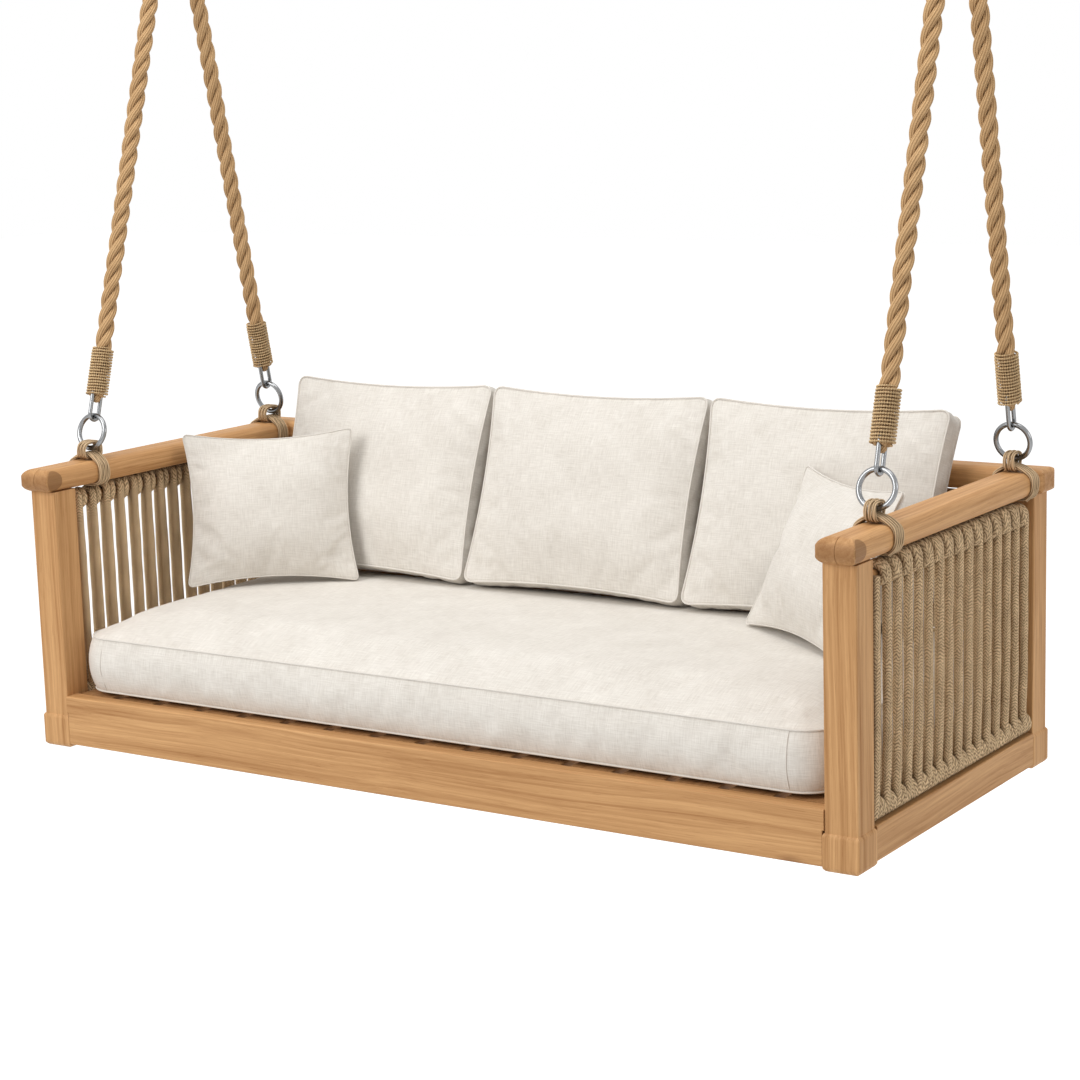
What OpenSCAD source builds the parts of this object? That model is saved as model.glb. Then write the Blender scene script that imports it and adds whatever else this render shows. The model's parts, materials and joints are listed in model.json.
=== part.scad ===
// Hanging swing bed: a three-seat wooden daybed with rope-wound sides, hung from the ceiling by
// four ropes that meet in pairs at two swing hangers.
// Every module draws the bed with z = 0 at the underside of its feet and y = 0 at the middle of
// its depth. The last lines then move it so that the origin lies on the ceiling, above the middle
// of the line on which the bed swings: +X to the sitter's left, -Y to the front, +Z up.

/* [Bed frame] */
// Width over the two outer post faces
bed_w = 2000; // [1500:10:2400]
// Depth over the front and back post faces
bed_d = 870; // [780:10:1000]
// Side of the square posts
post_side = 68; // [60:1:80]
// Height of the post tops above the floor side of the feet
post_h = 573; // [520:1:640]
// Amount by which the foot blocks stand proud of the posts
foot_proud = 4; // [2:1:6]
// Height of the rails' underside above the feet
rail_lift = 10; // [6:1:20]
// Height of the front and back rails' top edge
rail_top = 118; // [100:1:125]
// Height of the side rails' top edge, which is also the top of the foot blocks
side_rail_top = 78; // [72:1:84]
// Thickness of all four rails
rail_t = 38; // [28:1:42]

/* [Arms and back] */
// Thickness of the arm rails and of the back top rail
arm_t = 50; // [44:1:56]
// Amount by which an arm overhangs its posts on the outside
arm_over_out = 8; // [4:1:16]
// Amount by which an arm overhangs its posts on the inside
arm_over_in = 4; // [2:1:12]
// Amount by which an arm overhangs the front post
arm_over_front = 22; // [10:1:30]
// Radius of the arm rails' long edges
arm_edge_r = 20; // [10:1:22]
// Depth of the back top rail
top_rail_d = 72; // [60:1:80]
// Radius of the back top rail's long edges
top_rail_edge_r = 16; // [10:1:22]
// Amount by which the back top rail overhangs the posts at either end
top_rail_end_over = 15; // [8:1:20]
// Amount by which the back top rail overhangs the posts at the back
top_rail_over = 12; // [6:1:20]
// Number of boards in the back
board_count = 3; // [2:1:4]
// Thickness of the back boards
board_t = 20; // [14:1:24]
// Gap between back boards, and above and below them
board_gap = 5; // [3:1:8]

/* [Seat deck] */
// Width of a slat
slat_w = 95; // [60:1:100]
// Widest gap allowed between two slats, which sets their number
slat_gap = 24; // [20:1:60]
// Thickness of a slat
slat_t = 20; // [15:1:22]
// Width of the ledgers that carry the slats
ledger_w = 25; // [18:1:30]
// Height of the ledgers
ledger_h = 28; // [20:1:34]

/* [Rope sides] */
// Diameter of the rope wound on the sides
cord_d = 16; // [12:1:17]
// Diameter of the two dowels that the rope goes round
dowel_d = 16; // [12:1:24]
// Distance from the post's outer face to the middle of the dowels
dowel_inset = 21; // [18:1:30]
// Number of turns of rope on each side
infill_turns = 16; // [10:1:16]
// Room along a side rail that the turns of rope leave, both ends together
infill_room = 14; // [10:1:60]
// Depth of the dowels' sockets in the posts
socket_depth = 20; // [12:1:26]

/* [Hanging gear] */
// Height of the ceiling above the underside of the feet
ceiling_h = 2020; // [1900:10:2300]
// How far inside the middle of an arm's width its ropes hang
hang_inset = 6; // [0:1:12]
// How far the line that the bed swings about lies behind the middle of its depth
axis_y = 95; // [60:1:140]
// Distance from an arm's front end to the front ring above it
front_ring_inset = 184; // [170:1:260]
// Distance from the back top rail to the back ring in front of it
back_ring_inset = 28; // [28:1:120]
// Height of the lower rings' centres above the feet
ring_z = 684; // [684:1:760]
// Outer diameter of the lower rings
ring_od = 84; // [76:1:86]
// Wire diameter of the lower rings
ring_wire = 11; // [9:0.5:11]
// Outer diameter of the upper rings
top_ring_od = 92; // [88:1:110]
// Wire diameter of the upper rings
top_ring_wire = 12; // [10:0.5:13]
// Outer width of the long links
link_w = 36; // [34:1:36]
// Wire diameter of the long links
link_wire = 9; // [8:0.5:10]
// Diameter of the hanging ropes
rope_d = 38; // [37:0.5:42]
// Distance from a lower ring's centre to the start of the whipping above it
whip_start = 77; // [70:1:90]
// Distance from an upper ring's centre to the start of the whipping below it
top_whip_start = 118; // [116:1:140]
// Length of a whipping
whip_l = 114; // [80:1:130]
// Diameter of the whipping twine
twine_d = 5.6; // [5:0.1:6.2]
// Diameter of the cord that lashes the rings to the arms
lash_d = 8; // [5:0.5:8]
// Number of turns of cord round an arm in one lashing
lash_turns = 4; // [3:1:4]
// Length of link inside a whipping
link_grip = 29; // [20:1:40]

/* [Ceiling hangers] */
// Thickness of the ceiling plates and of their ears
plate_t = 8; // [6:1:12]
// Width of a ceiling plate along X
plate_w = 70; // [60:1:100]
// Length of a ceiling plate along Y
plate_l = 150; // [140:1:200]
// Distance between a plate's two bolt holes
bolt_spacing = 110; // [100:1:130]
// Radius of the bolt holes
bolt_r = 5.5; // [4:0.5:6.5]
// Diameter of the pin that an upper ring hangs on
pin_d = 16; // [14:1:20]
// Distance from the ceiling down to the middle of that pin
pin_drop = 40; // [38:1:60]
// Width of the gap between the two ears
ear_gap = 16; // [15:1:22]

/* [Cushions] */
// Thickness of the seat cushion at its edge
seat_edge_t = 130; // [90:1:140]
// Rise of the seat cushion's crown above its edge
seat_crown = 58; // [20:1:60]
// Bulge of the seat cushion's sides between their two seams
seat_bulge = 13; // [4:1:16]
// Room that the three back cushions leave at either end of the seat cushion
back_end_room = 70; // [40:1:200]
// Height of a back cushion
back_cushion_h = 450; // [400:1:500]
// Thickness of a back cushion at its edge
back_cushion_edge = 56; // [50:1:80]
// Thickness of a back cushion in the middle
back_cushion_t = 134; // [90:1:140]
// Angle at which the back cushions lean
back_lean = 20; // [14:1:22]
// Width of a throw pillow
pillow_w = 390; // [340:1:410]
// Height of a throw pillow
pillow_h = 352; // [320:1:400]
// Thickness of a throw pillow in the middle
pillow_t = 116; // [80:1:124]

/* [Hidden] */
POSTS = ["front_left_post", "front_right_post", "back_left_post", "back_right_post"];
CORNERS = ["front_left", "front_right", "back_left", "back_right"];
SIDES = ["left", "right"];
GEAR = ["lashing", "lower_ring", "lower_link", "lower_whipping", "rope"];
SIDE_PARTS = ["side_rail", "arm", "top_dowel", "bottom_dowel", "rope_infill",
              "upper_whippings", "upper_links", "upper_ring", "hanger", "pillow"];
SINGLES = ["front_rail", "back_rail", "back_top_rail", "back_boards", "back_stiles", "front_ledger",
           "back_ledger", "seat_slats", "joint_dowels", "hanger_pins", "seat_cushion"];
BACK_CUSHIONS = ["left_back_cushion", "middle_back_cushion", "right_back_cushion"];

// Signs of a corner: [x, y], with -X the left end as one faces the bed's front
corner_signs = [[-1, -1], [1, -1], [-1, 1], [1, 1]];

half_w = bed_w / 2;
half_d = bed_d / 2;
foot_side = post_side + 2 * foot_proud;
inner_x = half_w - post_side;             // inner faces of the posts
inner_y = half_d - post_side;
post_x = half_w - post_side / 2;          // middle of a post
post_y = half_d - post_side / 2;
rail_inset = 1;                           // rails lie this far inside the foot blocks' faces
rail_out_x = half_w + foot_proud - rail_inset;
rail_out_y = half_d + foot_proud - rail_inset;
tenon_l = 24;
tenon_t = 12;
tenon_shoulder = 9;                       // left above and below each tenon
wood_edge = 3;                            // rounding on sawn edges
foot_edge = 13;                           // rounding under the feet
close = 0.3;                              // clearance between pieces that only rest together

arm_w = post_side + arm_over_out + arm_over_in;
arm_x = half_w + arm_over_out - arm_w / 2;
arm_z = post_h + arm_t / 2;
arm_top = post_h + arm_t;
top_rail_front = half_d + top_rail_over - top_rail_d;
arm_front = -half_d - arm_over_front;
arm_nose_r = arm_t / 2 - 1;               // an arm's front end is nearly half round, seen from the side
arm_corner_r = 5;                         // and this round at its two corners, seen from above
top_rail_end_r = 14;

dowel_x = half_w - dowel_inset;
roll_r = dowel_d / 2 + close + cord_d;    // outer radius of the rope round a dowel
bottom_dowel_z = side_rail_top + roll_r + 1;
top_dowel_z = post_h - lash_d - 1.5 - roll_r;
arc_steps = 4;                            // corners in half a turn of rope, an even number

pin_joint_d = 12;                         // dowels hidden in the arm joints
pin_joint_l = 40;                         // their length, half in each piece
pin_joint_gap = 34;                       // distance between the two in one joint

ring_r = (ring_od - ring_wire) / 2;       // radius of the lower rings' wire line
top_ring_r = (top_ring_od - top_ring_wire) / 2;
pin_z = ceiling_h - pin_drop;
top_ring_z = pin_z + pin_d / 2 + close - top_ring_r + top_ring_wire / 2;
hang_x = arm_x - hang_inset;
ring_y = [arm_front + front_ring_inset, top_rail_front - back_ring_inset];   // front and back
rope_rise = top_ring_z - ring_z;
rope_run = [for (y = ring_y) axis_y - y]; // plus: the rope leans back as it rises
rope_lean = [for (r = rope_run) atan(r / rope_rise)];
rope_span = [for (r = rope_run) norm([r, rope_rise])];

wire_gap = 0.2;                           // between two pieces of wire that hook together
link_hook = ring_r - ring_wire / 2 - wire_gap - link_wire / 2;
top_link_hook = top_ring_r - top_ring_wire / 2 - close - link_wire / 2;
link_r = (link_w - link_wire) / 2;        // radius of a link's round ends, on the wire line
whip_rope_gap = 0.15;
whip_steps = 7;
whip_line_r = (rope_d / 2 + whip_rope_gap + twine_d / 2) / cos(180 / whip_steps);
whip_turns = floor((whip_l - twine_d) / (twine_d + 0.6));
whip_pitch = (whip_l - twine_d) / whip_turns;

lash_pitch = lash_d + 0.6;
lash_gap = 0.3;
ring_low = [for (a = rope_lean) ring_z - ring_r * cos(a)];   // height of the rings' lowest wire line
lash_half = (lash_turns * lash_pitch + lash_d) / 2;
lash_y = [for (i = [0, 1]) min(ring_y[i] - ring_r * sin(rope_lean[i]), inner_y - lash_half - 2 * close)];

seat_z = rail_top + close;                // underside of the seat cushion
seat_end_room = 10;                       // between the lashings and the seat cushion's seams
seat_w = 2 * (half_w + arm_over_out - arm_w - lash_d - seat_end_room);
seat_setback = 38;                        // from the front post faces to the seat cushion's seams
board_y = post_y - board_t / 2;           // front face of the back boards
seat_front = -half_d + seat_setback;
seat_back = board_y - seat_bulge - 2;
seat_r = (seat_back - seat_front) / 2;    // half the seat cushion's depth
seat_mid_y = (seat_front + seat_back) / 2;
back_gap = 8;                             // between neighbouring back cushions
back_cushion_w = (seat_w - 2 * back_end_room - 2 * back_gap) / 3;
back_room = 1;                            // between a back cushion's bulge and the back top rail
pillow_edge = 10;
pillow_lean = [14, 25];                   // the left and the right pillow
pillow_yaw = [38, -34];                   // turn from facing forward
pillow_inset = [212, 272];                // from the seat cushion's ends to the middle of each pillow
pillow_out = [180, 194];                  // from the back cushions' feet forward to each pillow's foot

// A cushion's form: radius of its corners, how far its sides are drawn in between them, and how
// steeply its faces climb from their seams
seat_form = [70, 4, 6];
back_form = [22, 14, 3];
pillow_form = [14, 20, 2.4];
back_side_bulge = 3;                      // of a back cushion's sides between their two seams

wood = [0.78, 0.58, 0.37];
deck_wood = [0.72, 0.53, 0.34];
linen = [0.87, 0.84, 0.79];
hemp = [0.72, 0.52, 0.31];
jute = [0.66, 0.56, 0.41];
steel = [0.66, 0.67, 0.68];

// ---- Small helpers ----

function unit(v) = v / norm(v);
function flatten(lists) = [for (l = lists) for (v = l) v];

// Corners of a bend from angle a0 to a1, in n steps. Its chords touch a circle of radius r, and so do
// straight runs into and out of it.
function bend(c, r, a0, a1, n) =
    let (step = (a1 - a0) / n, out = r / cos(step / 2))
    [for (i = [0.5 : n - 0.5]) [c[0] + out * cos(a0 + i * step), c[1] + out * sin(a0 + i * step)]];

// Least free distance between turns of a cord, measured on the points of its path
function least_gap(path, d, skip) =
    min([for (i = [0 : len(path) - skip - 1]) for (j = [i + skip : len(path) - 1])
         norm(path[i] - path[j])]) - d;

// A rectangle with round corners, as true arcs
module round_rect(w, h, r) {
    square([w - 2 * r, h], center = true);
    square([w, h - 2 * r], center = true);
    for (x = [-1, 1], y = [-1, 1]) translate([x * (w / 2 - r), y * (h / 2 - r)]) circle(r, $fn = 48);
}

// A bar along an axis: its section is w by h
module bar_x(l, w, h, r) { rotate([90, 0, 90]) linear_extrude(l, center = true) round_rect(w, h, r); }
module bar_y(l, w, h, r) { rotate([90, 0, 0]) linear_extrude(l, center = true) round_rect(w, h, r); }

// A straight dowel or hole along an axis, centred
module round_y(l, d) { rotate([90, 0, 0]) cylinder(h = l, d = d, center = true, $fn = 48); }

// One unbroken tube along a path. Its section keeps to the direction that the path winds about.
module tube(path, d, sides, winds_about) {
    n = len(path);
    heading = [for (i = [0 : n - 1]) unit(path[min(i + 1, n - 1)] - path[max(i - 1, 0)])];
    points = [for (i = [0 : n - 1])
        let (out = unit(cross(heading[i], winds_about)), along = cross(out, heading[i]))
        for (k = [0 : sides - 1])
            let (a = (k + 0.5) * 360 / sides)
            path[i] + d / 2 / cos(180 / sides) * (cos(a) * out + sin(a) * along)];
    walls = [for (i = [0 : n - 2]) for (k = [0 : sides - 1])
        let (a = i * sides + k, b = i * sides + (k + 1) % sides)
        each [[a, b, b + sides], [a, b + sides, a + sides]]];
    first_end = [for (k = [1 : sides - 2]) [0, k + 1, k]];
    last = (n - 1) * sides;
    last_end = [for (k = [1 : sides - 2]) [last, last + k, last + k + 1]];
    polyhedron(points, concat(walls, first_end, last_end));
}

// Mirrors what is drawn for the right-hand end (+X) to side s = -1
module at_side(s) { if (s > 0) children(); else mirror([1, 0, 0]) children(); }

// Places hanging gear drawn along +Z from a lower ring's centre
module on_rope(c) {
    i = corner_signs[c][1] < 0 ? 0 : 1;
    translate([corner_signs[c][0] * hang_x, ring_y[i], ring_z]) rotate([-rope_lean[i], 0, 0]) children();
}
function row(c) = corner_signs[c][1] < 0 ? 0 : 1;

// ---- Wooden frame ----

// Square post with its thicker foot block. Drawn at the back right corner.
module post_blank() {
    translate([post_x, post_y, 0]) {
        translate([0, 0, foot_edge])
            linear_extrude(post_h - foot_edge) round_rect(post_side, post_side, wood_edge);
        intersection() {
            linear_extrude(side_rail_top) round_rect(foot_side, foot_side, wood_edge);
            translate([0, 0, side_rail_top / 2]) {
                bar_x(foot_side, foot_side, side_rail_top, foot_edge);
            }
            translate([0, 0, side_rail_top / 2]) bar_y(foot_side, foot_side, side_rail_top, foot_edge);
        }
    }
}

// Mortise for a front or back rail, into the post's inner face
module end_rail_mortise() {
    translate([inner_x - foot_proud, rail_out_y - rail_t / 2 - tenon_t / 2, rail_lift + tenon_shoulder])
        cube([tenon_l, tenon_t, side_rail_top - rail_lift - 2 * tenon_shoulder]);
}

// Mortise for a side rail, into the post's face along Y
module side_rail_mortise() {
    translate([rail_out_x - rail_t / 2 - tenon_t / 2, inner_y - foot_proud, rail_lift + tenon_shoulder])
        cube([tenon_t, tenon_l, side_rail_top - rail_lift - 2 * tenon_shoulder]);
}

module dowel_sockets() {
    for (z = [bottom_dowel_z, top_dowel_z])
        translate([dowel_x, inner_y + socket_depth / 2, z]) round_y(socket_depth, dowel_d + 0.3);
}

// Hidden dowels that join a post's top to what lies on it
module post_pins(extra) {
    for (x = [-1, 1])
        translate([post_x + x * pin_joint_gap / 2, half_d - post_side * 0.4, post_h])
            cylinder(h = pin_joint_l, d = pin_joint_d + extra, center = true, $fn = 32);
}

// Hidden dowels that join an arm's back end to the back top rail
module arm_end_pins(extra) {
    for (x = [-1, 1]) translate([arm_x + x * pin_joint_gap / 2, top_rail_front, arm_z])
        round_y(pin_joint_l, pin_joint_d + extra);
}

module post(c) {
    color(wood) at_corner(c) difference() {
        post_blank();
        end_rail_mortise();
        side_rail_mortise();
        dowel_sockets();
        post_pins(close);
        if (corner_signs[c][1] > 0) board_grooves();
    }
}

// Draws a back right corner piece at corner c
module at_corner(c) {
    mirror([corner_signs[c][0] < 0 ? 1 : 0, 0, 0])
        mirror([0, corner_signs[c][1] < 0 ? 1 : 0, 0]) children();
}

// Front (y_sign -1) or back rail with a tenon at each end. It is cut round the foot blocks, and
// above them it reaches the posts.
module end_rail(y_sign) {
    body_l = 2 * (inner_x - foot_proud);
    upper_h = rail_top - side_rail_top - close;
    tenon_h = side_rail_top - rail_lift - 2 * tenon_shoulder;
    color(wood) translate([0, y_sign * (rail_out_y - rail_t / 2), 0]) {
        translate([0, 0, (rail_lift + rail_top) / 2]) bar_x(body_l, rail_t, rail_top - rail_lift, wood_edge);
        translate([0, 0, rail_top - upper_h / 2]) bar_x(2 * inner_x - close, rail_t, upper_h, wood_edge);
        translate([0, 0, rail_lift + tenon_shoulder + tenon_h / 2])
            cube([body_l + 2 * tenon_l, tenon_t, tenon_h], center = true);
    }
}

module side_rail(s) {
    body_l = 2 * (inner_y - foot_proud);
    tenon_h = side_rail_top - rail_lift - 2 * tenon_shoulder;
    color(wood) translate([s * (rail_out_x - rail_t / 2), 0, (rail_lift + side_rail_top) / 2]) {
        bar_y(body_l, rail_t, side_rail_top - rail_lift, wood_edge);
        cube([tenon_t, body_l + 2 * tenon_l, tenon_h], center = true);
    }
}

// Arm rail with round edges and a round nose, on the front post and against the back top rail
module arm(s) {
    l = top_rail_front - arm_front;
    color(wood) at_side(s) difference() {
        translate([arm_x, arm_front + l / 2, arm_z]) intersection() {
            bar_y(l, arm_w, arm_t, arm_edge_r);
            translate([0, arm_corner_r, 0]) linear_extrude(arm_t, center = true)
                round_rect(arm_w, l + 2 * arm_corner_r, arm_corner_r);
            translate([0, arm_nose_r, 0]) bar_x(arm_w, l + 2 * arm_nose_r, arm_t, arm_nose_r);
        }
        mirror([0, 1, 0]) post_pins(close);
        arm_end_pins(close);
        end_groove(l);
    }
}

// Fine joint line up the middle of an arm's front end
module end_groove(l) {
    groove = 1.2;
    translate([arm_x, arm_front + l / 2, arm_z]) rotate([90, 0, 90])
        linear_extrude(groove, center = true) difference() {
            round_rect(l + 2 * groove, arm_t + 2 * groove, arm_nose_r + groove);
            round_rect(l - 2 * groove, arm_t - 2 * groove, arm_nose_r - groove);
            translate([arm_nose_r, 0]) square([l, arm_t + 4 * groove], center = true);
        }
}

module back_top_rail() {
    l = 2 * (half_w + top_rail_end_over);
    color(wood) difference() {
        translate([0, top_rail_front + top_rail_d / 2, arm_z]) intersection() {
            bar_x(l, top_rail_d, arm_t, top_rail_edge_r);
            linear_extrude(arm_t, center = true) round_rect(l, top_rail_d, top_rail_end_r);
            bar_y(top_rail_d, l, arm_t, top_rail_end_r);
        }
        for (s = [-1, 1]) at_side(s) {
            post_pins(close);
            arm_end_pins(close);
        }
    }
}

module joint_dowels() {
    color(deck_wood) for (s = [-1, 1]) at_side(s) {
        post_pins(0);
        mirror([0, 1, 0]) post_pins(0);
        arm_end_pins(0);
    }
}

// ---- Back and seat deck ----

board_field = post_h - rail_top;
board_h = (board_field - (board_count + 1) * board_gap) / board_count;
board_tongue = 10;

module board_grooves() {
    translate([inner_x, board_y, rail_top + board_gap])
        cube([board_tongue, board_t, board_field - 2 * board_gap]);
}

module back_boards() {
    color(deck_wood) for (i = [0 : board_count - 1])
        translate([0, board_y + board_t / 2, rail_top + board_gap + board_h / 2 + i * (board_h + board_gap)])
            bar_x(2 * (inner_x + board_tongue), board_t, board_h, wood_edge);
}

// Two upright battens behind the boards, between the back rail and the top rail
module back_stiles() {
    stile_t = half_d - board_y - board_t;
    color(deck_wood) for (x = [-1, 1])
        translate([x * inner_x / 3, half_d - stile_t / 2, (rail_top + post_h) / 2])
            cube([post_side, stile_t, board_field], center = true);
}

module ledger(y_sign) {
    color(deck_wood)
        translate([0, y_sign * (rail_out_y - rail_t - ledger_w / 2), rail_top - slat_t - ledger_h / 2])
            cube([2 * (inner_x - foot_proud), ledger_w, ledger_h], center = true);
}

// The end slats lie close beside the foot blocks
module seat_slats() {
    foot_room = 2;
    deck_l = 2 * (inner_x - foot_proud - foot_room);
    slat_count = ceil((deck_l + slat_gap) / (slat_w + slat_gap));
    pitch = (deck_l - slat_w) / (slat_count - 1);
    l = 2 * (rail_out_y - rail_t) - 2;
    color(deck_wood) for (i = [0 : slat_count - 1])
        translate([(i - (slat_count - 1) / 2) * pitch, 0, rail_top - slat_t / 2])
            bar_y(l, slat_w, slat_t, wood_edge);
}

// ---- Rope sides ----

module infill_dowel(s, z) {
    color(wood) translate([s * dowel_x, 0, z]) round_y(2 * (inner_y + socket_depth), dowel_d);
}

// The rope starts outside at the top dowel. One turn goes down outside, round the bottom dowel, up
// inside and over the top dowel. Each half turn moves it half a pitch along Y, so that the upright
// stretches are plumb. The last turn ends inside at the top dowel.
infill_pitch = (2 * inner_y - infill_room) / infill_turns;
infill_line_r = dowel_d / 2 + close + cord_d / 2;
function infill_y(half_turns) = (half_turns - infill_turns + 0.5) * infill_pitch / 2;
function infill_bend(z, a0, half_turns) =
    let (corners = bend([0, z], infill_line_r, a0, a0 - 180, arc_steps))
    [for (i = [0 : arc_steps - 1])
        [corners[i][0], infill_y(half_turns + i / (arc_steps - 1)), corners[i][1]]];
infill_path = concat(
    [[infill_line_r, infill_y(0), top_dowel_z]],
    flatten([for (k = [0 : infill_turns - 1]) concat(
        infill_bend(bottom_dowel_z, 0, 2 * k),
        k < infill_turns - 1 ? infill_bend(top_dowel_z, 180, 2 * k + 1) : [])]),
    [[-infill_line_r, infill_y(2 * infill_turns - 1), top_dowel_z]]);

module rope_infill(s) {
    color(jute) translate([s * dowel_x, 0, 0]) at_side(s) tube(infill_path, cord_d, 6, [0, 1, 0]);
}

// ---- Hanging gear ----

// A ring in the plane of X and the rope
module wire_ring(r, wire) {
    rotate([90, 0, 0]) rotate_extrude($fn = 72) translate([r, 0]) circle(d = wire, $fn = 32);
}

// Long link in the plane of Y and Z, from the middle of its lower bend to that of its upper one
module long_link(z0, z1) {
    low = z0 + link_r;
    high = z1 - link_r;
    for (y = [-1, 1]) translate([0, y * link_r, low]) cylinder(h = high - low, d = link_wire, $fn = 32);
    translate([0, 0, high]) half_loop();
    translate([0, 0, low]) mirror([0, 0, 1]) half_loop();
}

module half_loop() {
    rotate([90, 0, 90]) rotate_extrude(angle = 180, $fn = 48)
        translate([link_r, 0]) circle(d = link_wire, $fn = 32);
}

// Slot that a link's wire lies in where the rope goes through it
module link_slot(z0, z1) {
    rotate([90, 0, 90]) linear_extrude(link_wire + 2 * wire_gap, center = true) difference() {
        link_outline(z0, z1, link_r + link_wire / 2 + wire_gap);
        link_outline(z0, z1, link_r - link_wire / 2 - wire_gap);
    }
}

module link_outline(z0, z1, r) {
    translate([0, z0 + link_r]) circle(r, $fn = 48);
    translate([0, z1 - link_r]) circle(r, $fn = 48);
    translate([-r, z0 + link_r]) square([2 * r, z1 - z0 - 2 * link_r]);
}

module lower_ring(c) { color(steel) on_rope(c) wire_ring(ring_r, ring_wire); }

link_top = whip_start + link_grip - link_wire / 2;
module lower_link(c) { color(steel) on_rope(c) long_link(link_hook, link_top); }

// Distances along a rope, from the lower ring's centre, of the link at its top end
function upper_link_low(c) = rope_span[row(c)] - top_whip_start - link_grip + link_wire / 2;
function upper_link_high(c) = rope_span[row(c)] - top_link_hook;

module rope(c) {
    color(hemp) on_rope(c) difference() {
        translate([0, 0, whip_start])
            cylinder(h = rope_span[row(c)] - whip_start - top_whip_start, d = rope_d, $fn = 48);
        link_slot(link_hook, link_top);
        rotate([0, 0, 90]) link_slot(upper_link_low(c), upper_link_high(c));
    }
}

whip_path = [for (i = [0 : whip_turns * whip_steps])
    let (a = i * 360 / whip_steps)
    [whip_line_r * cos(a), whip_line_r * sin(a),
     whip_start + twine_d / 2 + i / whip_steps * whip_pitch]];

module lower_whipping(c) { color(jute) on_rope(c) tube(whip_path, twine_d, 4, [0, 0, 1]); }

// The upper whippings are plain sleeves with the same outer and inner radius
module upper_whippings(s) {
    color(jute) for (y = [0, 1]) on_rope(s < 0 ? 2 * y : 2 * y + 1)
        translate([0, 0, rope_span[y] - top_whip_start - whip_l]) difference() {
            cylinder(h = whip_l, r = rope_d / 2 + whip_rope_gap + twine_d, $fn = 48);
            translate([0, 0, -1]) cylinder(h = whip_l + 2, r = rope_d / 2 + whip_rope_gap, $fn = 48);
        }
}

module upper_links(s) {
    color(steel) for (y = [0, 1]) {
        c = s < 0 ? 2 * y : 2 * y + 1;
        on_rope(c) rotate([0, 0, 90]) long_link(upper_link_low(c), upper_link_high(c));
    }
}

module upper_ring(s) {
    color(steel) translate([s * hang_x, axis_y, top_ring_z]) rotate([0, 0, 90])
        wire_ring(top_ring_r, top_ring_wire);
}

// Ceiling plate with two ears and the two bolt holes that fix it to a joist
module hanger(s) {
    ear_w = 2.6 * pin_d;
    color(steel) translate([s * hang_x, axis_y, 0]) difference() {
        union() {
            translate([0, 0, ceiling_h - plate_t]) linear_extrude(plate_t) round_rect(plate_w, plate_l, 8);
            for (x = [-1, 1]) translate([x * (ear_gap + plate_t) / 2, 0, pin_z]) rotate([90, 0, 90])
                linear_extrude(plate_t, center = true) {
                    circle(d = ear_w, $fn = 64);
                    translate([-ear_w / 2, 0]) square([ear_w, pin_drop - plate_t / 2]);
                }
        }
        translate([0, 0, pin_z]) rotate([0, 90, 0])
            cylinder(h = plate_w, d = pin_d + 0.2, center = true, $fn = 64);
        for (y = [-1, 1]) translate([0, y * bolt_spacing / 2, ceiling_h - plate_t - 1])
            cylinder(h = plate_t + 2, r = bolt_r, $fn = 48);
    }
}

// Headed pins through the ears, with a nut on the outer end
module hanger_pins() {
    ear_span = ear_gap + 2 * plate_t;
    head_h = 6;
    color(steel) for (s = [-1, 1]) translate([s * hang_x, axis_y, pin_z]) rotate([0, s * 90, 0]) {
        cylinder(h = ear_span + 2 * head_h, d = pin_d, center = true, $fn = 64);
        translate([0, 0, -ear_span / 2 - head_h]) cylinder(h = head_h, d = pin_d + 10, $fn = 64);
        translate([0, 0, ear_span / 2]) cylinder(h = head_h, d = pin_d + 10, $fn = 6);
    }
}

// ---- Lashings ----

// The strap goes round the arm and rises on both sides to a point just under the ring.
// Its points, [x, z], start under the arm's outer edge and go round to the inner edge.
strap_r = arm_edge_r + lash_gap + lash_d / 2;
strap_x = arm_w / 2 - arm_edge_r;
strap_zs = [arm_z - arm_t / 2 + arm_edge_r, arm_z + arm_t / 2 - arm_edge_r];
strap_rise = [for (z = ring_low) z - ring_wire / 2 - lash_gap - 0.8 - lash_d / 2];
function strap_turn(i) = concat(
    bend([arm_x + strap_x, strap_zs[0]], strap_r, -90, 0, 2),
    bend([arm_x + strap_x, strap_zs[1]], strap_r, 0, 75, 2),
    [[hang_x + lash_d, strap_rise[i]], [hang_x - lash_d, strap_rise[i]]],
    bend([arm_x - strap_x, strap_zs[1]], strap_r, 105, 180, 2),
    bend([arm_x - strap_x, strap_zs[0]], strap_r, 180, 270, 2));
function strap_path(i) =
    let (turn = strap_turn(i), n = len(turn))
    [for (k = [0 : lash_turns * n - 1])
        [turn[k % n][0], lash_y[i] + (k / n - lash_turns / 2) * lash_pitch, turn[k % n][1]]];

// The becket is an upright loop that ties the strap's peak to the ring's lowest wire. It stands on
// the arm, and is a little square so that it clears both.
becket_turns = 3;
becket_half_x = (becket_turns * lash_pitch + lash_d) / 2;
becket_slack = ring_r - sqrt(pow(ring_r, 2) - pow(becket_half_x, 2)) + 0.5;   // over the ring's lowest wire
becket_top = [for (z = ring_low) z + ring_wire / 2 + lash_gap + lash_d / 2 + becket_slack];
becket_low = arm_top + lash_gap + lash_d / 2;
becket_half_y = lash_half + lash_gap + lash_d / 2;
becket_steps = 8;
function squarish(t) = sign(t) * pow(abs(t), 0.7);
function becket_path(i) =
    let (mid = (becket_top[i] + becket_low) / 2, rise = (becket_top[i] - becket_low) / 2)
    [for (k = [0 : becket_turns * becket_steps])
        let (a = k * 360 / becket_steps - 90)
        [hang_x + (k / becket_steps - becket_turns / 2) * lash_pitch,
         lash_y[i] + becket_half_y * squarish(cos(a)),
         mid + rise * squarish(sin(a))]];

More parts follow.
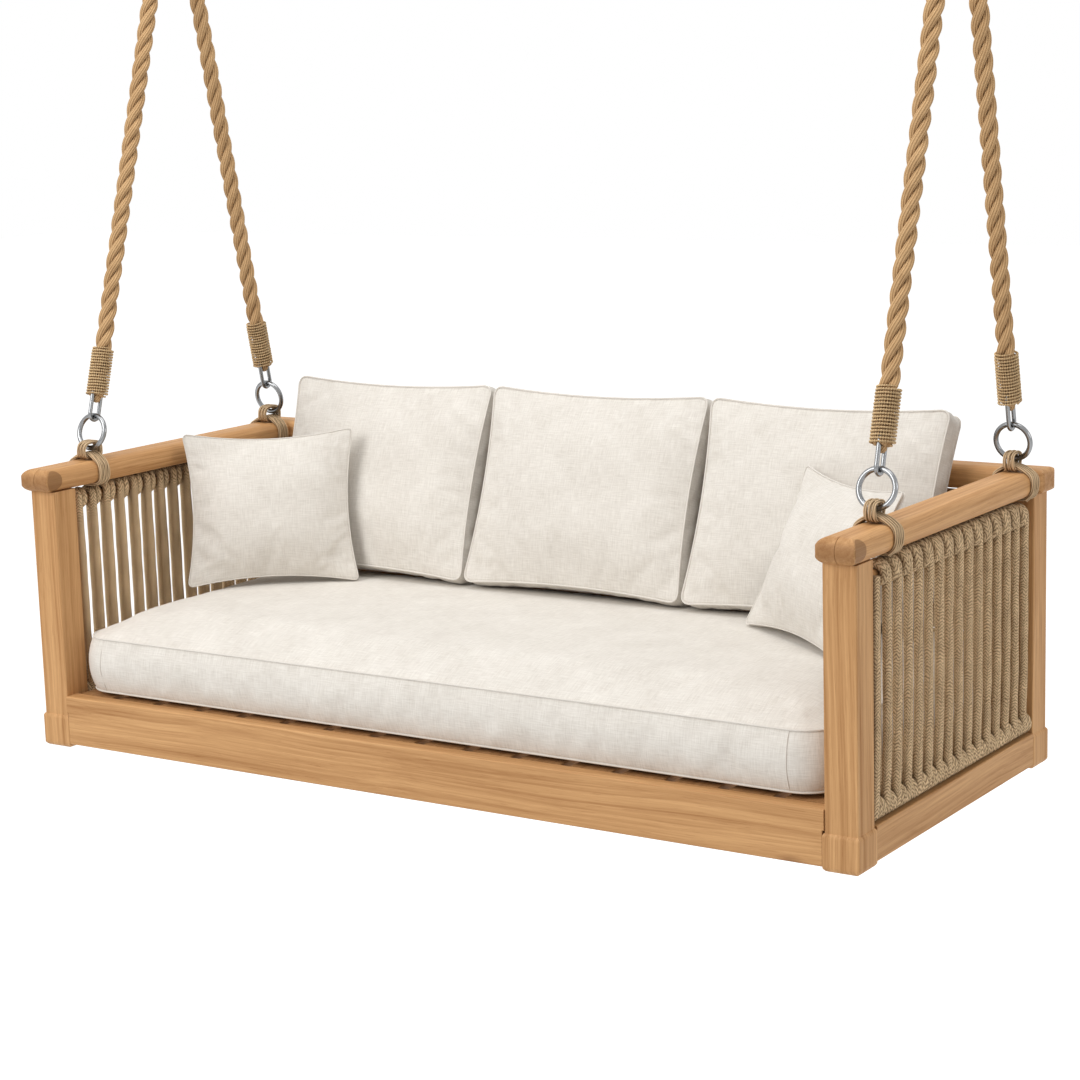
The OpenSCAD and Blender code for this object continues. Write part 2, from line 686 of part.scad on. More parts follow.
module lashing(c) {
    i = row(c);
    color(jute) at_side(corner_signs[c][0]) {
        tube(strap_path(i), lash_d, 4, [0, 1, 0]);
        tube(becket_path(i), lash_d, 4, [1, 0, 0]);
    }
}

echo(infill_gap = least_gap(infill_path, cord_d, 2 * arc_steps));
echo(whipping_gap = least_gap(whip_path, twine_d, whip_steps - 1));
echo(strap_gap = [for (i = [0, 1]) least_gap(strap_path(i), lash_d, len(strap_turn(i)) - 1)]);
echo(becket_gap = [for (i = [0, 1]) least_gap(becket_path(i), lash_d, becket_steps - 1)]);

// ---- Cushions ----

// Outline of a cushion, w by h: round corners, and sides drawn in between them by pull
side_points = 7;                          // points on each side
corner_points = 4;                        // points on each corner
function outline(w, h, r, pull) =
    let (corner = function (qx, qy, a0) [for (k = [0 : corner_points - 1])
             let (a = a0 + k * 90 / (corner_points - 1))
             [qx * (w / 2 - r) + r * cos(a), qy * (h / 2 - r) + r * sin(a)]],
         side = function (p, q, dir) [for (k = [1 : side_points])
             let (t = k / (side_points + 1)) p + (q - p) * t + dir * pull * 4 * t * (1 - t)])
    concat(corner(1, 1, 0), side([w / 2 - r, h / 2], [r - w / 2, h / 2], [0, -1]),
           corner(-1, 1, 90), side([-w / 2, h / 2 - r], [-w / 2, r - h / 2], [1, 0]),
           corner(-1, -1, 180), side([r - w / 2, -h / 2], [w / 2 - r, -h / 2], [0, 1]),
           corner(1, -1, 270), side([w / 2, r - h / 2], [w / 2, h / 2 - r], [-1, 0]));

// A face of a cushion climbs in steps from its seam (0) to its middle (1). Each step is
// [share of the way in, share of the full rise].
function face_steps(fullness) = [for (q = [0, 0.05, 0.14, 0.28, 0.5, 0.76]) [q, 1 - pow(1 - q, fullness)]];

// A cushion lying flat about its middle, with seams edge_t apart. down and up are the rises of its
// two faces, and bulge is how far its sides stand out between the seams. form is one of the forms
// at the top.
module cushion(w, h, edge_t, down, up, bulge, form) {
    half = min(w, h) / 2;
    steps = face_steps(form[2]);
    loop = function (q, z) [for (p = outline(w - 2 * q * half, h - 2 * q * half, form[0] * (1 - 0.8 * q),
                                             form[1] * (1 - q))) [p[0], p[1], z]];
    low = [for (k = [len(steps) - 1 : -1 : 0]) loop(steps[k][0], -edge_t / 2 - down * steps[k][1])];
    high = [for (f = steps) loop(f[0], edge_t / 2 + up * f[1])];
    loops = bulge > 0 ? concat(low, [loop(-bulge / half, 0)], high) : concat(low, high);
    m = len(loops[0]);
    points = concat([[0, 0, -edge_t / 2 - down]], flatten(loops), [[0, 0, edge_t / 2 + up]]);
    top = len(points) - 1;
    walls = [for (i = [0 : len(loops) - 2]) for (j = [0 : m - 1])
        let (a = 1 + i * m + j, b = 1 + i * m + (j + 1) % m)
        each [[a, a + m, b + m], [a, b + m, b]]];
    under = [for (j = [0 : m - 1]) [0, 1 + j, 1 + (j + 1) % m]];
    over = [for (j = [0 : m - 1]) [top, top - m + (j + 1) % m, top - m + j]];
    polyhedron(points, concat(walls, under, over));
}

// Height of the seat cushion's upper face at a point of the bed
function seat_height(x, y) =
    let (q = min(seat_w / 2 - abs(x), seat_r - abs(y - seat_mid_y)) / seat_r,
         rise = lookup(min(max(q, 0), 1), concat(face_steps(seat_form[2]), [[1, 1]])))
    seat_z + seat_edge_t + seat_crown * rise;

module seat_cushion() {
    color(linen) translate([0, seat_mid_y, seat_z + seat_edge_t / 2])
        cushion(seat_w, 2 * seat_r, seat_edge_t, 0, seat_crown, seat_bulge, seat_form);
}

// A back cushion stands on its lower rear seam and leans on the back top rail's round front edge
back_bulge = (back_cushion_t - back_cushion_edge) / 2;
lean_z = arm_top - top_rail_edge_r * (1 - sin(back_lean));
lean_y = top_rail_front + top_rail_edge_r * (1 - cos(back_lean));
back_foot_y = lean_y - (back_room + back_cushion_t / 2) / cos(back_lean)
    - (lean_z - seat_z - seat_edge_t - seat_crown) * tan(back_lean);
back_heel_y = back_foot_y + back_cushion_edge / 2 * cos(back_lean);
back_foot_z = seat_height(0, back_heel_y) + close + back_cushion_edge / 2 * sin(back_lean);
module back_cushion(k) {
    color(linen) translate([(k - 1) * (back_cushion_w + back_gap), back_foot_y, back_foot_z])
        rotate([-back_lean, 0, 0]) translate([0, 0, back_cushion_h / 2]) rotate([90, 0, 0])
            cushion(back_cushion_w, back_cushion_h, back_cushion_edge, back_bulge, back_bulge,
                    back_side_bulge, back_form);
}

pillow_foot = [[pillow_inset[0] - seat_w / 2, back_foot_y - pillow_out[0]],
               [seat_w / 2 - pillow_inset[1], back_foot_y - pillow_out[1]]];

module pillow(s) {
    i = s < 0 ? 0 : 1;
    foot = pillow_foot[i];
    along = [cos(pillow_yaw[i]), sin(pillow_yaw[i])] * (pillow_w / 2 - 20);
    seat_under = max([for (p = [foot - along, foot, foot + along]) seat_height(p[0], p[1])]);
    bulge = (pillow_t - pillow_edge) / 2;
    color(linen) translate([foot[0], foot[1], seat_under + close + pillow_edge / 2 * sin(pillow_lean[i])])
        rotate([0, 0, pillow_yaw[i]]) rotate([-pillow_lean[i], 0, 0]) translate([0, 0, pillow_h / 2])
            rotate([90, 0, 0])
                cushion(pillow_w, pillow_h, pillow_edge, bulge, bulge, 0, pillow_form);
}

// ---- The bed, moved so that the origin is on the ceiling over the swing axis ----

translate([0, -axis_y, -ceiling_h]) {
    for (c = [0 : 3]) {
        post(c);
        lashing(c);
        lower_ring(c);
        lower_link(c);
        lower_whipping(c);
        rope(c);
    }
    for (i = [0, 1]) {
        s = i == 0 ? -1 : 1;
        side_rail(s);
        arm(s);
        infill_dowel(s, top_dowel_z);
        infill_dowel(s, bottom_dowel_z);
        rope_infill(s);
        upper_whippings(s);
        upper_links(s);
        upper_ring(s);
        hanger(s);
        pillow(s);
    }
    for (k = [0 : 2]) back_cushion(k);
    end_rail(-1);  // front_rail
    end_rail(1);  // back_rail
    back_top_rail();
    back_boards();
    back_stiles();
    ledger(-1);  // front_ledger
    ledger(1);  // back_ledger
    seat_slats();
    joint_dowels();
    hanger_pins();
    seat_cushion();
}
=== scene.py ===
# %% [markdown]
# # Hanging swing bed
# A wooden daybed hangs on four ropes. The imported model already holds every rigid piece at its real
# size: posts, rails, arms, rings, links and ceiling plates. This script dresses it. It lays real
# rope where the model has plain rods, winds the twine and the rope sides, sews and fills the
# cushions, and gives each surface its finish. The frame is loaded first, so that every new piece
# can take its place from it.

# %% Load the fixed frame
import json
import math
import random

import bmesh
import bpy
from mathutils import Matrix, Vector

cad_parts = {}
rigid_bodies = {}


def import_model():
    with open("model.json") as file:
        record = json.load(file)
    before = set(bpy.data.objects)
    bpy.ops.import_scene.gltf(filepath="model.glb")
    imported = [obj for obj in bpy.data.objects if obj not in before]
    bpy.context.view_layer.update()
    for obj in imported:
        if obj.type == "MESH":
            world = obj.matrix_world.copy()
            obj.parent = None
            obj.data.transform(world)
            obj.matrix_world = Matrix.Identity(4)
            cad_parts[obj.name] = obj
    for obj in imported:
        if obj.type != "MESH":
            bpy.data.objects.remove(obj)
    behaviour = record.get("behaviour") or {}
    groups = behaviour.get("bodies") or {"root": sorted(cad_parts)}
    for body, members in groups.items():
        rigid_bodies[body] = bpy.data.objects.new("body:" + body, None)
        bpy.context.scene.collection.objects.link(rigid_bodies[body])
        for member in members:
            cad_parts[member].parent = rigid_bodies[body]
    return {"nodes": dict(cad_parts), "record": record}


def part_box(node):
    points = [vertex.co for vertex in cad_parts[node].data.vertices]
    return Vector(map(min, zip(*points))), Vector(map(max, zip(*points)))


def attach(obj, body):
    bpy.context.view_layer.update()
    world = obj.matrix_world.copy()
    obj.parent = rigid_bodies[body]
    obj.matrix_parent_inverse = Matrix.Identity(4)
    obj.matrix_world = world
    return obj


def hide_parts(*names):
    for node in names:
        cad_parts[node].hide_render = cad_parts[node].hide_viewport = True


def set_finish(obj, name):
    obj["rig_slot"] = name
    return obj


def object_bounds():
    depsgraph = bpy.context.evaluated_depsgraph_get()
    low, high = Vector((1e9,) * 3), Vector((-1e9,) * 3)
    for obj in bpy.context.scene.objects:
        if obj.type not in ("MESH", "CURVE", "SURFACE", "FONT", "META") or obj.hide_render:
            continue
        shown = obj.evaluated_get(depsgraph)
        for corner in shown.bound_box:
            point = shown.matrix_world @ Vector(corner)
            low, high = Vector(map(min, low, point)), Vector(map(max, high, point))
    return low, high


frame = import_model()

scene = bpy.context.scene
cad_box = [list(corner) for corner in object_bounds()]
BODY_OF = {
    node: body for body, members in frame["record"]["behaviour"]["bodies"].items() for node in members
}
CORNERS = ("front_left", "front_right", "back_left", "back_right")
SIDES = ("left", "right")

# %% [markdown]
# ## Camera
# The photograph was taken from the bed's right front, a little above the seat, with a long lens.
# A camera looks along its own -Z axis, so it is first tipped up by 90 degrees less its downward
# pitch, then turned about the vertical. The roll comes first of all, about its own line of sight.

# %% The camera at the photograph's angle
CAMERA_PLACE = Vector((2.986, -4.519, -0.555))
CAMERA_YAW, CAMERA_PITCH, CAMERA_ROLL = (math.radians(a) for a in (33.63, 10.606, -1.726))
SENSOR = 36.0
FOCAL_LENGTH = 85.33


def placed(name, data):
    """A new object of that data, linked into the scene."""
    made = bpy.data.objects.new(name, data)
    scene.collection.objects.link(made)
    return made


camera = placed("camera", bpy.data.cameras.new("camera"))
camera.data.sensor_width = SENSOR
camera.data.sensor_fit = "HORIZONTAL"
camera.data.lens = FOCAL_LENGTH
camera.matrix_world = (
    Matrix.Translation(CAMERA_PLACE)
    @ Matrix.Rotation(CAMERA_YAW, 4, "Z")
    @ Matrix.Rotation(math.pi / 2 - CAMERA_PITCH, 4, "X")
    @ Matrix.Rotation(CAMERA_ROLL, 4, "Z")
)
scene.camera = camera
print("camera at", tuple(camera.location))

# %% [markdown]
# ## Cordage helpers
# Every rope, twine and cord here is one section swept along one line. A curve does that well: its
# bevel takes another curve as the section, and the tilt at each point turns that section, so that
# a lobed section turned steadily along the line becomes a laid rope. The curve is then made a
# mesh, which keeps a UV map with the length in U and the way round in V. U is multiplied by the
# real length, so that fibres have one scale on every cord.

# %% Sweep a section along a line
def line(name, points, closed=False, tilts=None, radii=None):
    """A curve object of straight steps through points."""
    data = bpy.data.curves.new(name, "CURVE")
    data.dimensions = "3D"
    spline = data.splines.new("POLY")
    spline.points.add(len(points) - 1)
    spline.points.foreach_set("co", [c for p in points for c in (*p, 1.0)])
    if tilts:
        spline.points.foreach_set("tilt", tilts)
    if radii:
        spline.points.foreach_set("radius", radii)
    spline.use_cyclic_u = closed
    return placed(name, data)


def lobed_section(radius, lobes, depth, points_each=2):
    """The outline of a bundle of yarns: a circle that dips by depth between its lobes."""
    count = lobes * points_each
    outline = []
    for k in range(count):
        angle = math.tau * k / count
        reach = radius - depth * (0.5 - 0.5 * math.cos(lobes * angle))
        outline.append((reach * math.cos(angle), reach * math.sin(angle), 0))
    return outline


def distances(points):
    """How far along the line each point lies."""
    run = [0.0]
    for here, there in zip(points, points[1:]):
        run.append(run[-1] + (Vector(there) - Vector(here)).length)
    return run


def sweep(points, section, lay=None, radii=None, closed=False):
    """A mesh of the section swept along points, which makes one full turn every lay metres."""
    run = distances(points)
    tilts = [math.tau * d / lay for d in run] if lay else None
    outline = line("section", section, closed=True)
    outline.data.dimensions = "2D"
    curve = line("sweep", points, closed, tilts, radii)
    curve.data.bevel_mode = "OBJECT"
    curve.data.bevel_object = outline
    curve.data.use_fill_caps = not closed
    graph = bpy.context.evaluated_depsgraph_get()
    mesh = bpy.data.meshes.new_from_object(curve.evaluated_get(graph))
    for used in (curve.data, outline.data):
        bpy.data.curves.remove(used)
    uvs = [0.0] * (2 * len(mesh.loops))
    mesh.uv_layers[0].uv.foreach_get("vector", uvs)
    uvs[0::2] = [u * run[-1] for u in uvs[0::2]]
    mesh.uv_layers[0].uv.foreach_set("vector", uvs)
    return mesh


def piece_of(name, meshes):
    """One object made of several meshes, with outward faces. It sits at the origin."""
    whole = bmesh.new()
    for mesh in meshes:
        whole.from_mesh(mesh)
        bpy.data.meshes.remove(mesh)
    bmesh.ops.recalc_face_normals(whole, faces=whole.faces)
    joined = bpy.data.meshes.new(name)
    whole.to_mesh(joined)
    whole.free()
    joined.shade_smooth()
    return placed(name, joined)


def stand_for(piece, slot, *node_names):
    """The piece takes these nodes' place, on their body, with a finish of that slot."""
    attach(piece, BODY_OF[node_names[0]])
    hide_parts(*node_names)
    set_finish(piece, slot)
    return piece


def middle(node):
    low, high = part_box(node)
    return (low + high) / 2


print("cordage helpers ready")

# %% [markdown]
# ## The hanging ropes
# Each rope runs from a lower ring to the upper ring of its side. It is three strands laid
# together to the right, as hemp rope is. The strands are tubes along three helices, each with
# ten yarns in its outline. A curve keeps its section from turning about itself, and on a helix
# that makes the yarns run nearly straight down the rope, which is how they look on real rope.

# %% Lay the four ropes
ROPE_D = 0.038
ROPE_LAY = 0.130
STRAND_R = 0.0091
STRAND_LINE_R = ROPE_D / 2 - STRAND_R
YARNS = 10
YARN_DEPTH = 0.0009
WHIP_START = 0.077          # from a lower ring's centre
TOP_WHIP_START = 0.118      # from an upper ring's centre
WHIP_LENGTH = 0.114
STUB_END = 0.065            # the rope's eye shows this far below its whipping
TOP_STUB_END = 0.099
STUB_R = 0.0098
STUB_GRIP = 0.02            # how far the eye reaches into its whipping
STUB_LAY = 0.09
STUB_STEPS = 16
STUB_TIP = 0.12             # share of its radius that is left at the tip
STRAND_STEP = 0.0045
STRAND_INSET = 0.004        # of the strands' ends, inside their whippings
STRAND_UNEVEN = 0.012       # share by which a strand's radius varies
PATH_STEPS = 30


class RopeLine:
    """The straight line of a rope, with places given along it and round it."""

    def __init__(self, corner):
        self.low = middle(corner + "_lower_ring")
        self.high = middle(corner.split("_")[1] + "_upper_ring")
        self.span = (self.high - self.low).length
        self.along = (self.high - self.low).normalized()
        self.across = Vector((1, 0, 0))
        self.aside = self.along.cross(self.across)

    def at(self, distance, radius=0.0, angle=0.0):
        out = self.across * math.cos(angle) + self.aside * math.sin(angle)
        return self.low + self.along * distance + out * radius


def strand(rope, first, last, start_angle, section, chance):
    count = round((last - first) / STRAND_STEP)
    points, radii = [], []
    for k in range(count + 1):
        distance = first + (last - first) * k / count
        angle = start_angle + math.tau * distance / ROPE_LAY
        points.append(rope.at(distance, STRAND_LINE_R, angle))
        radii.append(1 + STRAND_UNEVEN * chance.uniform(-1, 1))
    return sweep(points, section, radii=radii)


def stub(rope, tip, root):
    """The rope's eye where it shows between the legs of its link, a lump with a round tip."""
    section = lobed_section(STUB_R, YARNS, YARN_DEPTH, 4)
    points, radii = [], []
    for k in range(STUB_STEPS + 1):
        inward = (k / STUB_STEPS) ** 2
        from_round = max(0, 1 - inward * abs(root - tip) / STUB_R)
        points.append(rope.at(tip + (root - tip) * inward))
        radii.append(max(STUB_TIP, math.sqrt(1 - from_round**2)))
    return sweep(points, section, lay=STUB_LAY, radii=radii)


ROPES = {}
for number, corner in enumerate(CORNERS):
    rope = RopeLine(corner)
    chance = random.Random(40 + number)
    first, last = WHIP_START + STRAND_INSET, rope.span - TOP_WHIP_START - STRAND_INSET
    section = lobed_section(STRAND_R, YARNS, YARN_DEPTH, 4)
    meshes = [strand(rope, first, last, number + math.tau * k / 3, section, chance) for k in range(3)]
    meshes.append(stub(rope, STUB_END, WHIP_START + STUB_GRIP))
    meshes.append(stub(rope, rope.span - TOP_STUB_END, rope.span - TOP_WHIP_START - STUB_GRIP))
    piece = stand_for(piece_of(corner + "_laid_rope", meshes), "hanging_rope", corner + "_rope")
    shown = rope.span - STUB_END - TOP_STUB_END
    path = [rope.at(STUB_END + shown * k / PATH_STEPS) for k in range(PATH_STEPS + 1)]
    ROPES[corner] = rope
    print(corner, "rope", round(distances(path)[-1], 3), "m,", len(piece.data.polygons), "faces")

# %% [markdown]
# ## The whippings
# Twine is wound hard round both ends of each rope to close its eye. It is one helix of twine
# with both ends tucked in. The first and last turns lie a little further out, because there the
# twine passes over its own tail. Both whippings of a side's upper ends share one piece.

# %% Wind the whippings
TWINE_D = 0.0056
TWINE_YARNS = 5
TWINE_YARN_DEPTH = 0.00035
TWINE_LAY = 0.012
WHIP_TURNS = 17
WHIP_STEPS = 28             # to a turn
WHIP_LINE_R = 0.02195
WHIP_FLARE = 0.0007
FLARE_TURNS = 1.5           # at each end, in which the flare dies away
WHIP_UNEVEN = 0.00022       # how far the turns stray in and out
WHIP_WAVE = 2.3             # radians of that for each turn
TUCK = 0.0062
TUCK_TURN = 0.7             # share of a turn in which an end dives under
TUCK_THINNING = 0.35        # share of the twine's radius that an end loses there


def whipping(rope, start, chance):
    total = WHIP_TURNS * WHIP_STEPS
    pitch = (WHIP_LENGTH - TWINE_D) / WHIP_TURNS
    points, radii = [], []
    for k in range(total + 1):
        turn = k / WHIP_STEPS
        from_end = min(turn, WHIP_TURNS - turn)
        flare = WHIP_FLARE * max(0, 1 - from_end / FLARE_TURNS)
        dive = max(0, 1 - from_end / TUCK_TURN)
        wobble = WHIP_UNEVEN * math.sin(turn * WHIP_WAVE + chance.uniform(0, 0.4))
        reach = WHIP_LINE_R + flare - TUCK * dive**2 + wobble
        points.append(rope.at(start + TWINE_D / 2 + turn * pitch, reach, math.tau * turn))
        radii.append(1 - TUCK_THINNING * dive)
    section = lobed_section(TWINE_D / 2, TWINE_YARNS, TWINE_YARN_DEPTH, 3)
    return sweep(points, section, lay=TWINE_LAY, radii=radii)


for number, corner in enumerate(CORNERS):
    piece = piece_of(corner + "_twine", [whipping(ROPES[corner], WHIP_START, random.Random(number))])
    stand_for(piece, "jute_cord", corner + "_lower_whipping")
for side in SIDES:
    meshes = []
    for number, end in enumerate(("front_", "back_")):
        rope = ROPES[end + side]
        meshes.append(whipping(rope, rope.span - TOP_WHIP_START - WHIP_LENGTH, random.Random(9 + number)))
    stand_for(piece_of(side + "_upper_twine", meshes), "jute_cord", side + "_upper_whippings")
print("whippings:", WHIP_TURNS, "turns each")

# %% [markdown]
# ## The rope sides
# One long rope is wound on each side, down outside, round the lower dowel, up inside and over the
# upper dowel. It makes two more turns at the lower dowel and one at the upper, which hides the wood
# and sets the distance between the uprights. The line of the rope is worked out stretch by stretch:
# an upright is a straight run, and a bend is a helix round its dowel.

# %% Wind the two sides
SIDE_ROPE_D = 0.016
SIDE_LOBES = 8
SIDE_LOBE_DEPTH = 0.0006
SIDE_LAY = 0.9
SIDE_ROPE_R = 0.0089        # with the loose fibres that stand out past its nominal size
SIDE_LINE_R = 0.0163        # from a dowel's middle
UPRIGHTS = 32
EXTRA_TURNS = {"lower": 2, "upper": 1}
TURN_STEP = {"lower": 0.0150, "upper": 0.0165}      # between neighbouring turns on a dowel
LOOP_BULGE = 0.0045         # how far the turns round the upper dowel stand out on the outside
LOOP_RISE = 0.0082          # and how far they rise to meet the arm
STRAP_ROOM = 0.034          # to either side of a lashing, where they stay below its strap
INNER_SHIFT = 0.0015        # of the inner uprights' middles, into the gaps between the outer ones
SIDEWAYS = 0.0016           # how far the middle of an upright may sway along the side
BOW = (-0.0004, 0.0009)     # and how far it may stand in or out
UPRIGHT_STEPS = 100
SETTLE = 0.3                # share of an upright in which it comes to its place between its neighbours
STEPS_PER_TURN = 22


def side_rope_line(side, chance):
    sign = -1 if side == "left" else 1
    low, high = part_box(side + "_rope_infill")
    half_pitch = (high.y - low.y - SIDE_ROPE_D) / (UPRIGHTS - 1)
    first_y = low.y + SIDE_ROPE_D / 2
    bottom, top = middle(side + "_bottom_dowel"), middle(side + "_top_dowel")
    straps = [middle(end + side + "_lashing").y for end in ("front_", "back_")]
    bends = {way: (EXTRA_TURNS[way] + 0.5, TURN_STEP[way]) for way in EXTRA_TURNS}
    slips = {way: (turns * step - half_pitch) / 2 for way, (turns, step) in bends.items()}

    def place(outward, y, z):
        return Vector((bottom.x + sign * outward, y, z))

    points = []
    for k in range(UPRIGHTS):
        goes_down = k % 2 == 0
        first, then = ("upper", "lower") if goes_down else ("lower", "upper")
        before, after = slips[first], slips[then]
        outward = SIDE_LINE_R if goes_down else -SIDE_LINE_R
        z0, z1 = (top.z, bottom.z) if goes_down else (bottom.z, top.z)
        y = first_y + k * half_pitch
        sway = chance.uniform(-SIDEWAYS, SIDEWAYS)
        bow = chance.uniform(*BOW)
        for n in range(UPRIGHT_STEPS):
            t = n / UPRIGHT_STEPS
            swell = math.sin(math.pi * t)
            aside = before * max(0, 1 - t / SETTLE) - after * max(0, 1 - (1 - t) / SETTLE)
            if not goes_down:
                aside += INNER_SHIFT * min(1, t / SETTLE, (1 - t) / SETTLE)
            points.append(place(outward + bow * swell, y + aside + sway * swell, z0 + (z1 - z0) * t))
        if k == UPRIGHTS - 1:
            break
        turns, step = bends[then]
        start = 0.0 if goes_down else math.pi
        near_strap = min(abs(y + turns * step / 2 - after - strap) for strap in straps) < STRAP_ROOM
        bulge = 0 if goes_down else LOOP_BULGE
        rise = 0 if goes_down or near_strap else LOOP_RISE
        steps = round(turns * STEPS_PER_TURN)
        for n in range(steps):
            t = n / steps
            angle = start - math.tau * turns * t
            reach = SIDE_LINE_R + bulge * math.sin(math.pi * t) ** 2 * max(0, math.cos(angle))
            reach += rise * max(0, math.sin(angle)) ** 2
            points.append(place(reach * math.cos(angle), y - after + t * turns * step,
                                z1 + reach * math.sin(angle)))
    points.append(place(-SIDE_LINE_R, y - after, top.z))
    return points


for number, side in enumerate(SIDES):
    points = side_rope_line(side, random.Random(70 + number))
    section = lobed_section(SIDE_ROPE_R, SIDE_LOBES, SIDE_LOBE_DEPTH)
    piece = piece_of(side + "_wound_side", [sweep(points, section, lay=SIDE_LAY)])
    stand_for(piece, "jute_cord", side + "_rope_infill")
    print(side, "side rope", round(distances(points)[-1], 1), "m,", 2 * len(piece.data.polygons), "triangles")

# %% [markdown]
# ## The lashings
# Thinner cord, a loose bundle of yarns, ties each lower ring to its arm. Four turns go round the
# arm as a strap and rise to a peak under the ring, and three turns of a becket tie that peak to the
# ring's wire. The corners of both lines are few and are then cut twice or three times, which rounds
# them as a subdivision surface would.

# %% Tie the rings to the arms
LASH_D = 0.008
LASH_PITCH = 0.0086
LASH_YARNS = 4
LASH_YARN_DEPTH = 0.0012
LASH_LAY = 0.15
LASH_UNEVEN = 0.0005        # how far a corner of the strap strays along the arm
STRAP_TURNS = 4
PEAK_GAP = 0.0011           # between the strap's peak and the ring
BECKET_TURNS = 3
BECKET_STEPS = 12           # to a turn
BECKET_POWER = 0.7          # below 1 makes a turn squarer than an ellipse
STRAP_LEAVES = 75           # degrees round the arm's upper edge, where the strap turns to the ring
ARM_EDGE_R = 0.020
CLOSE = 0.0003


def bend(centre, radius, first, last, count):
    """Corners whose straight steps touch a circle, from the first to the last angle in degrees."""
    step = math.radians(last - first) / count
    reach = radius / math.cos(step / 2)
    angles = [math.radians(first) + (k + 0.5) * step for k in range(count)]
    return [(centre[0] + reach * math.cos(a), centre[1] + reach * math.sin(a)) for a in angles]


def rounded(points, times):
    """The same line with each corner cut, so that it is smoother every time."""
    for _ in range(times):
        cut = [points[0]]
        for here, there in zip(points, points[1:]):
            cut += [here.lerp(there, 0.25), here.lerp(there, 0.75)]
        points = cut + [points[-1]]
    return points


def squared(share):
    return math.copysign(abs(share) ** BECKET_POWER, share)


def lashing(corner, chance):
    side = corner.split("_")[1]
    sign = -1 if side == "left" else 1
    low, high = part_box(side + "_arm")
    arm_x, arm_top = abs(low.x + high.x) / 2, high.z
    ring_low, ring_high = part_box(corner + "_lower_ring")
    own_low, own_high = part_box(corner + "_lashing")
    hang_x = abs(ring_low.x + ring_high.x) / 2
    mid_y = (own_low.y + own_high.y) / 2
    reach = ARM_EDGE_R + CLOSE + LASH_D / 2
    side_x = (high.x - low.x) / 2 - ARM_EDGE_R
    z_low, z_high = low.z + ARM_EDGE_R, high.z - ARM_EDGE_R
    peak = ring_low.z - PEAK_GAP - LASH_D / 2
    turn = bend((arm_x + side_x, z_low), reach, -90, 0, 2)
    turn += bend((arm_x + side_x, z_high), reach, 0, STRAP_LEAVES, 2)
    turn += [(hang_x + LASH_D, peak), (hang_x - LASH_D, peak)]
    turn += bend((arm_x - side_x, z_high), reach, 180 - STRAP_LEAVES, 180, 2)
    turn += bend((arm_x - side_x, z_low), reach, 180, 270, 2)
    strap = []
    for k in range(STRAP_TURNS * len(turn)):
        x, z = turn[k % len(turn)]
        stray = chance.uniform(-LASH_UNEVEN, LASH_UNEVEN)
        y = mid_y + (k / len(turn) - STRAP_TURNS / 2) * LASH_PITCH + stray
        strap.append(Vector((sign * x, y, z)))
    becket = []
    becket_low = arm_top + CLOSE + LASH_D / 2
    becket_high = own_high.z - LASH_D / 2
    half_y = (own_high.y - own_low.y) / 2 - LASH_D / 2
    for k in range(BECKET_TURNS * BECKET_STEPS + 1):
        angle = math.tau * k / BECKET_STEPS - math.pi / 2
        becket.append(Vector((
            sign * (hang_x + (k / BECKET_STEPS - BECKET_TURNS / 2) * LASH_PITCH),
            mid_y + half_y * squared(math.cos(angle)),
            (becket_high + becket_low) / 2 + (becket_high - becket_low) / 2 * squared(math.sin(angle)),
        )))
    section = lobed_section(LASH_D / 2, LASH_YARNS, LASH_YARN_DEPTH, 5)
    return [sweep(rounded(strap, 3), section, lay=LASH_LAY), sweep(rounded(becket, 2), section, lay=LASH_LAY)]


for number, corner in enumerate(CORNERS):
    piece = piece_of(corner + "_tie", lashing(corner, random.Random(20 + number)))
    stand_for(piece, "jute_cord", corner + "_lashing")
print("lashings:", STRAP_TURNS, "turns round each arm")

# %% [markdown]
# ## Sewing a cushion case
# A cushion case is two flat panels and a strip, the gusset, sewn between their edges. A grid makes
# one panel, an extrusion raises the other, and cuts across the strip give it rows. While the case
# is still flat, every face gets its UVs in metres, so that the cloth keeps one scale. Then the
# vertices move to the filled form: round corners, sides drawn in, crowned faces. Last, a cloth
# simulation presses the filling against the panels, with the seams held, and makes the slight
# unevenness that a formula doesn't have.

# %% Cut, fill and press a case
TINY = 1e-5                 # lengths that differ by less are equal
CLOTH = {"quality": 6, "mass": 0.25, "tension_stiffness": 25, "compression_stiffness": 25,
         "shear_stiffness": 12, "bending_stiffness": 1.2, "use_pressure": True}
CLOTH_FRAMES = 20


